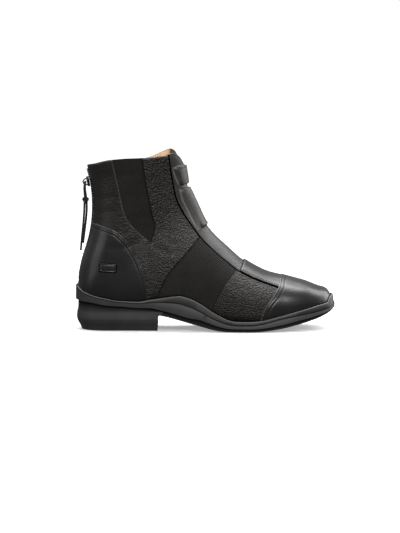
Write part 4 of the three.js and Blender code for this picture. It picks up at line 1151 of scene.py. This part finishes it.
def closed_stack(rings):
    """Rings joined from the bottom up, closed flat at both ends by strips across."""
    count = len(rings[0])
    faces = tube_faces(len(rings), count)
    top = (len(rings) - 1) * count
    for j in range(count // 2):
        low = list(dict.fromkeys([j, j + 1, (count - j - 1) % count, (count - j) % count]))
        faces.append(tuple(reversed(low)))
        faces.append(tuple(top + i for i in low))
    return np.vstack(rings), faces


toe_lean = steady_curve([0, 96, 98.5, 100], [0, 0, 1.6, 2.2])


def drawn_in(column, full):
    """Insets in parts of a depth that changes along the sole."""
    return lambda part: lambda p: part * side_line[column](p) / 100 * full


def off(line):
    """Heights that keep a distance from a line of the sole."""
    return lambda rise: lambda p: line(p) + rise


def lean(base, part):
    """Insets that grow at the toe, where the sole's wall leans back."""
    return lambda p: base + part * toe_lean(p)


def flush(p):
    return 0 * p


shelf, cut, tuck = drawn_in(6, SHELF), drawn_in(7, GROOVE), drawn_in(8, TUCK)
from_foot, from_seat, from_rim, from_step, from_groove = [
    off(line) for line in (underside, seat, rim, step_line, groove_line)]
SOLE_RINGS = [
    # inset, height, painted highlight on the lip, painted shade in the groove and gaps
    (lambda p: tuck(1.0)(p) + 0.5, underside, 0, 0),
    (tuck(1.0), from_foot(0.25), 0, 0),
    (tuck(0.62), from_foot(EDGE), 0, 0),
    (lambda p: np.maximum(shelf(1.05)(p), tuck(0.18)(p)), from_step(-0.9), 0, 0.9),
    (shelf(0.55), from_step(-0.25), 0, 0.6),
    (shelf(0.15), from_step(0), 0.25, 0),
    (flush, from_step(0.5), 0.2, 0),
    (flush, from_groove(-GROOVE), 0, 0),
    (cut(0.35), from_groove(-0.5), 0, 0.2),
    (cut(1.1), from_groove(0), 0, 0.9),
    (cut(0.35), from_groove(0.5), 0, 0.2),
    (lean(0, 0.4), from_groove(GROOVE), 0, 0),
    (lean(0.15, 0.8), from_rim(-LIP), 0.1, 0),
    (lean(0.4, 0.93), from_rim(-0.35), 0.6, 0),
    (lean(LIP, 1), from_rim(0), 1, 0),
    (lean(LIP + 0.55, 1), from_rim(-0.3), 0.8, 0),
    (lean(LIP + 1.0, 1), from_rim(-1.4), 0, 0.9),
    (lambda p: np.maximum(lean(LIP + 1.5, 1)(p), shelf(1)(p) + 1.3),
     lambda p: np.minimum(from_rim(-3)(p), from_seat(2.0)(p)), 0, 1),
    (lean(LIP + 3.6, 1), from_seat(0.2), 0, 1),
]
RING_STEPS = 150
places = 50 * (1 - np.cos(np.arange(1, RING_STEPS) / RING_STEPS * np.pi))
sole_points, sole_faces = closed_stack([ring(inset, height, places) for inset, height, _, _ in SOLE_RINGS])
in_ring = len(sole_points) // len(SOLE_RINGS)
# painted highlight on the lip's edge; painted shade under the step, in the groove and in the gap over the
# lip
light, ring_shade = [np.repeat([row[c] for row in SOLE_RINGS], in_ring) for c in (2, 3)]
make_piece(
    "sole_unit_rubber", sole_points, sole_faces, sole_rubber, "sole_rubber", ("sole_unit",),
    {"painted_highlight": light, "painted_shade": ring_shade}, smooth=42)
print("sole", len(sole_faces), "faces")

# %% [markdown]
# The heel is a block under the back of the sole, rounded at its sides. Its breast is the flat face towards
# the toe. Fine ribs run across it, and a fillet joins it to the waist. It is built in level rings too.

# %% Heel
HEEL_TOP, HEEL_ROWS, HEEL_COLUMNS, BREAST_COLUMNS = 21, 46, 60, 20
RIB_DEPTH, RIB_PITCH, RIB_FOOT, RIB_TOP = 0.32, 2.1, 2, 13
heel_profile = steady_curve([0, 10, 28, 48, 72, 110], [100, 88, 66, 34, 16, 22])
across = np.linspace(0, 1, BREAST_COLUMNS + 2)[1:-1, None]
heel_rings = []
for z in np.concatenate([np.linspace(0, 1, 5)[:-1], np.linspace(1, HEEL_TOP, HEEL_ROWS)]):
    inset = float(heel_profile(min(z / HEEL_LIFT * 100, 110))) / 100 * HEEL_ROUND
    room = np.clip((z - (HEEL_LIFT - BREAST_FILLET)) / BREAST_FILLET, 0, 1)
    breast = BREAST + BREAST_FILLET * (1 - math.sqrt(1 - room ** 2))
    spread = 1 - np.cos(np.linspace(0, 1, HEEL_COLUMNS + 1)[1:] * np.pi / 2)
    full = ring(lambda p: inset + 0 * p, lambda p: z + 0 * p, breast / LENGTH * 100 * spread)
    outer, inner = full[1:HEEL_COLUMNS + 1], full[HEEL_COLUMNS + 2:][::-1]
    face = outer[-1] * (1 - across) + inner[-1] * across
    wave = RIB_DEPTH * np.sin(2 * np.pi * z / RIB_PITCH) * (RIB_FOOT < z < RIB_TOP)
    face[:, 0] += wave * np.minimum(1, 12 * np.minimum(across, 1 - across)[:, 0])
    heel_rings.append(np.vstack([full[:1], outer, face, inner[::-1]]))
count, top = len(heel_rings[0]), (len(heel_rings) - 1) * len(heel_rings[0])
heel_faces = tube_faces(len(heel_rings), count)
heel_faces += [tuple(range(count - 1, -1, -1)), tuple(range(top, top + count))]
make_piece("heel_rubber", np.vstack(heel_rings), heel_faces, sole_rubber, "sole_rubber", smooth=42)
print("heel", len(heel_faces), "faces")

# %% [markdown]
# The zip down the back has a woven tape, a coil of nylon teeth, a metal stop and a slider. The tape is cut
# from the skin, as the leathers are. The stop and the slider keep their CAD shapes and get their finish.

# %% Zip tape and metal
panel(
    "zip_tape_cloth", zip_fabric,
    [TAPE_HALF + 2 - zip_side, skin_points[:, 2] - ZIP_FOOT + 1, BACK_REACH - skin_points[:, 0],
     under_collar],
    -0.55, 0.7, cut=under_collar, radius=0.4,
    marks=[(zip_side, 6.6, 0.2, 0.5)], slot="zip_fabric", nodes=("zip_tape",))
for node in ("zip_slider", "zip_stop"):
    metal_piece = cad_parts[node]
    metal_piece.data.materials.clear()
    metal_piece.data.materials.append(zip_metal)

# %% [markdown]
# Each tooth of the coil is a small rounded block. One is modelled as a cube with bevelled edges, and
# copied up the boot's back line, left and right in turn, where every copy turns with the leather.

# %% Zip teeth
TOOTH_SIZE, TOOTH_ROUND, TOOTH_OUT, TOOTH_SIDE = (1.7, 3.0, 1.28), 0.26, 0.35, 0.98
COIL_FOOT, COIL_END, COIL_PITCH = 55.4, 174.4, 1.32
back_s = np.linspace(14, 28, 500)
back_line = last_point(back_s, np.zeros(500))
back_out = last_normal(back_s, np.zeros(500))

bpy.ops.object.select_all(action="DESELECT")
bpy.ops.mesh.primitive_cube_add(size=1, location=(0, 0, 0))
tooth = bpy.context.active_object
tooth.scale = TOOTH_SIZE
bpy.ops.object.transform_apply(location=False, rotation=False, scale=True)
bpy.ops.object.mode_set(mode="EDIT")
bpy.ops.mesh.select_all(action="SELECT")
bpy.ops.mesh.bevel(offset=TOOTH_ROUND, segments=2, affect="EDGES")
bpy.ops.object.mode_set(mode="OBJECT")
tooth_points = np.array([v.co for v in tooth.data.vertices])
tooth_faces = [tuple(f.vertices) for f in tooth.data.polygons]
bpy.data.objects.remove(tooth)
coil_points, coil_faces = [], []
for i, z in enumerate(np.arange(COIL_FOOT, COIL_END, COIL_PITCH)):
    x = float(np.interp(z, back_line[:, 2], back_line[:, 0]))
    out = np.array([np.interp(z, back_line[:, 2], back_out[:, c]) for c in (0, 2)])
    out /= np.linalg.norm(out)
    up = np.array([-out[1], out[0]]) * (1 if out[0] > 0 else -1)
    local = tooth_points + (TOOTH_OUT, TOOTH_SIDE if i % 2 else -TOOTH_SIDE, 0)
    place = np.column_stack([
        x + local[:, 0] * out[0] + local[:, 2] * up[0], local[:, 1],
        z + local[:, 0] * out[1] + local[:, 2] * up[1]])
    start = len(tooth_points) * len(coil_points)
    coil_points.append(place)
    coil_faces += [tuple(k + start for k in f) for f in tooth_faces]
make_piece("zip_coil_teeth", np.vstack(coil_points), coil_faces, zip_plastic, "zip_plastic", ("zip_coil",))
print("teeth", len(coil_points))

# %% [markdown]
# A leather thong is looped through the slider's bridge, and one overhand knot holds its two strands.
# Such a knot, drawn tight, is a trefoil: one round tube that runs through itself. Its middle line is three
# waves in code, and rings of points stand round it, which a hand with a mouse would find hard to place.

# %% Knot
KNOT_PLACE, KNOT_TUBE, KNOT_STEPS, KNOT_SIDES = (11.1, 0, 140.2), 1.28, 96, 12


def knot_piece():
    """An overhand knot: one loop of cord drawn tight through itself."""
    steps = np.linspace(0, 2 * np.pi, KNOT_STEPS + 1)[:-1]
    centre = np.stack([
        (np.sin(steps) + 2 * np.sin(2 * steps)) * 0.92, np.cos(steps) - 2 * np.cos(2 * steps),
        -np.sin(3 * steps) * 1.35], 1)
    run = np.roll(centre, -1, 0) - np.roll(centre, 1, 0)
    run /= np.linalg.norm(run, axis=1, keepdims=True)
    away = centre - run * (centre * run).sum(1, keepdims=True)
    away /= np.linalg.norm(away, axis=1, keepdims=True)
    around = np.arange(KNOT_SIDES) / KNOT_SIDES * 2 * np.pi
    turns = (
        np.cos(around)[None, :, None] * away[:, None]
        + np.sin(around)[None, :, None] * np.cross(run, away)[:, None])
    points = (centre[:, None] + KNOT_TUBE * turns).reshape(-1, 3)[:, [0, 2, 1]]
    return make_piece(
        "pull_knot_tied", points + KNOT_PLACE, tube_faces(KNOT_STEPS, KNOT_SIDES, closed=True),
        thong_leather, "thong_leather", ("pull_knot",))


knot = knot_piece()
print("knot", len(knot.data.vertices), "points")

# %% [markdown]
# Below the knot the strands hang down as bare tails of unequal length. Each strand is a round cord on one
# smooth curve, from the eye to its end, and hangs by its own weight close to the heel.

# %% Thong
THONG_RADIUS = 0.0012


def hang(name, way):
    """A strand through the given points, its length in metres, and where it leaves the eye."""
    line = np.array(way, float)
    route = through(np.vstack([2 * line[0] - line[1], line, 2 * line[-1] - line[-2]]), 5)
    curve = bpy.data.curves.new(name, "CURVE")
    curve.dimensions = "3D"
    curve.bevel_depth = THONG_RADIUS
    curve.bevel_resolution = 3
    curve.use_fill_caps = True
    spline = curve.splines.new("POLY")
    spline.points.add(len(route) - 1)
    spline.points.foreach_set("co", np.column_stack([to_frame(route), np.ones(len(route))]).ravel())
    spline.use_smooth = True
    strand = bpy.data.objects.new(name, curve)
    bpy.context.scene.collection.objects.link(strand)
    curve.materials.append(thong_leather)
    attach(strand, "root")
    long = float(np.linalg.norm(np.diff(route, axis=0), axis=1).sum()) / 1000
    print(name, round(long, 4), "m long")
    return strand, round(long, 4), to_frame(route)[0]


long_strand, long_length, eye = hang("pull_long", [
    [11, -0.3, 160.1], [10.9, -2.3, 159.7], [10.4, -3.1, 157.2], [10, -2.6, 152], [10.5, -1.6, 144.5],
    [10.4, -1.1, 140.2], [10, -1.6, 136], [9.6, -2.1, 126], [8.4, -2.6, 112], [6.9, -2.6, 98],
    [5.8, -2.2, 85.5]])
short_strand, short_length, eye_too = hang("pull_short", [
    [11, 0.3, 160.1], [10.9, 2.3, 159.7], [10.5, 3.1, 157.2], [10.4, 2.6, 152], [11.5, 1.6, 144.5],
    [11.8, 1.1, 140.2], [12.2, 1.6, 136], [12, 2, 126], [10.2, 2.4, 110], [8, 2.2, 93]])
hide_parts("pull_top_long", "pull_tail_long")
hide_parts("pull_top_short", "pull_tail_short")
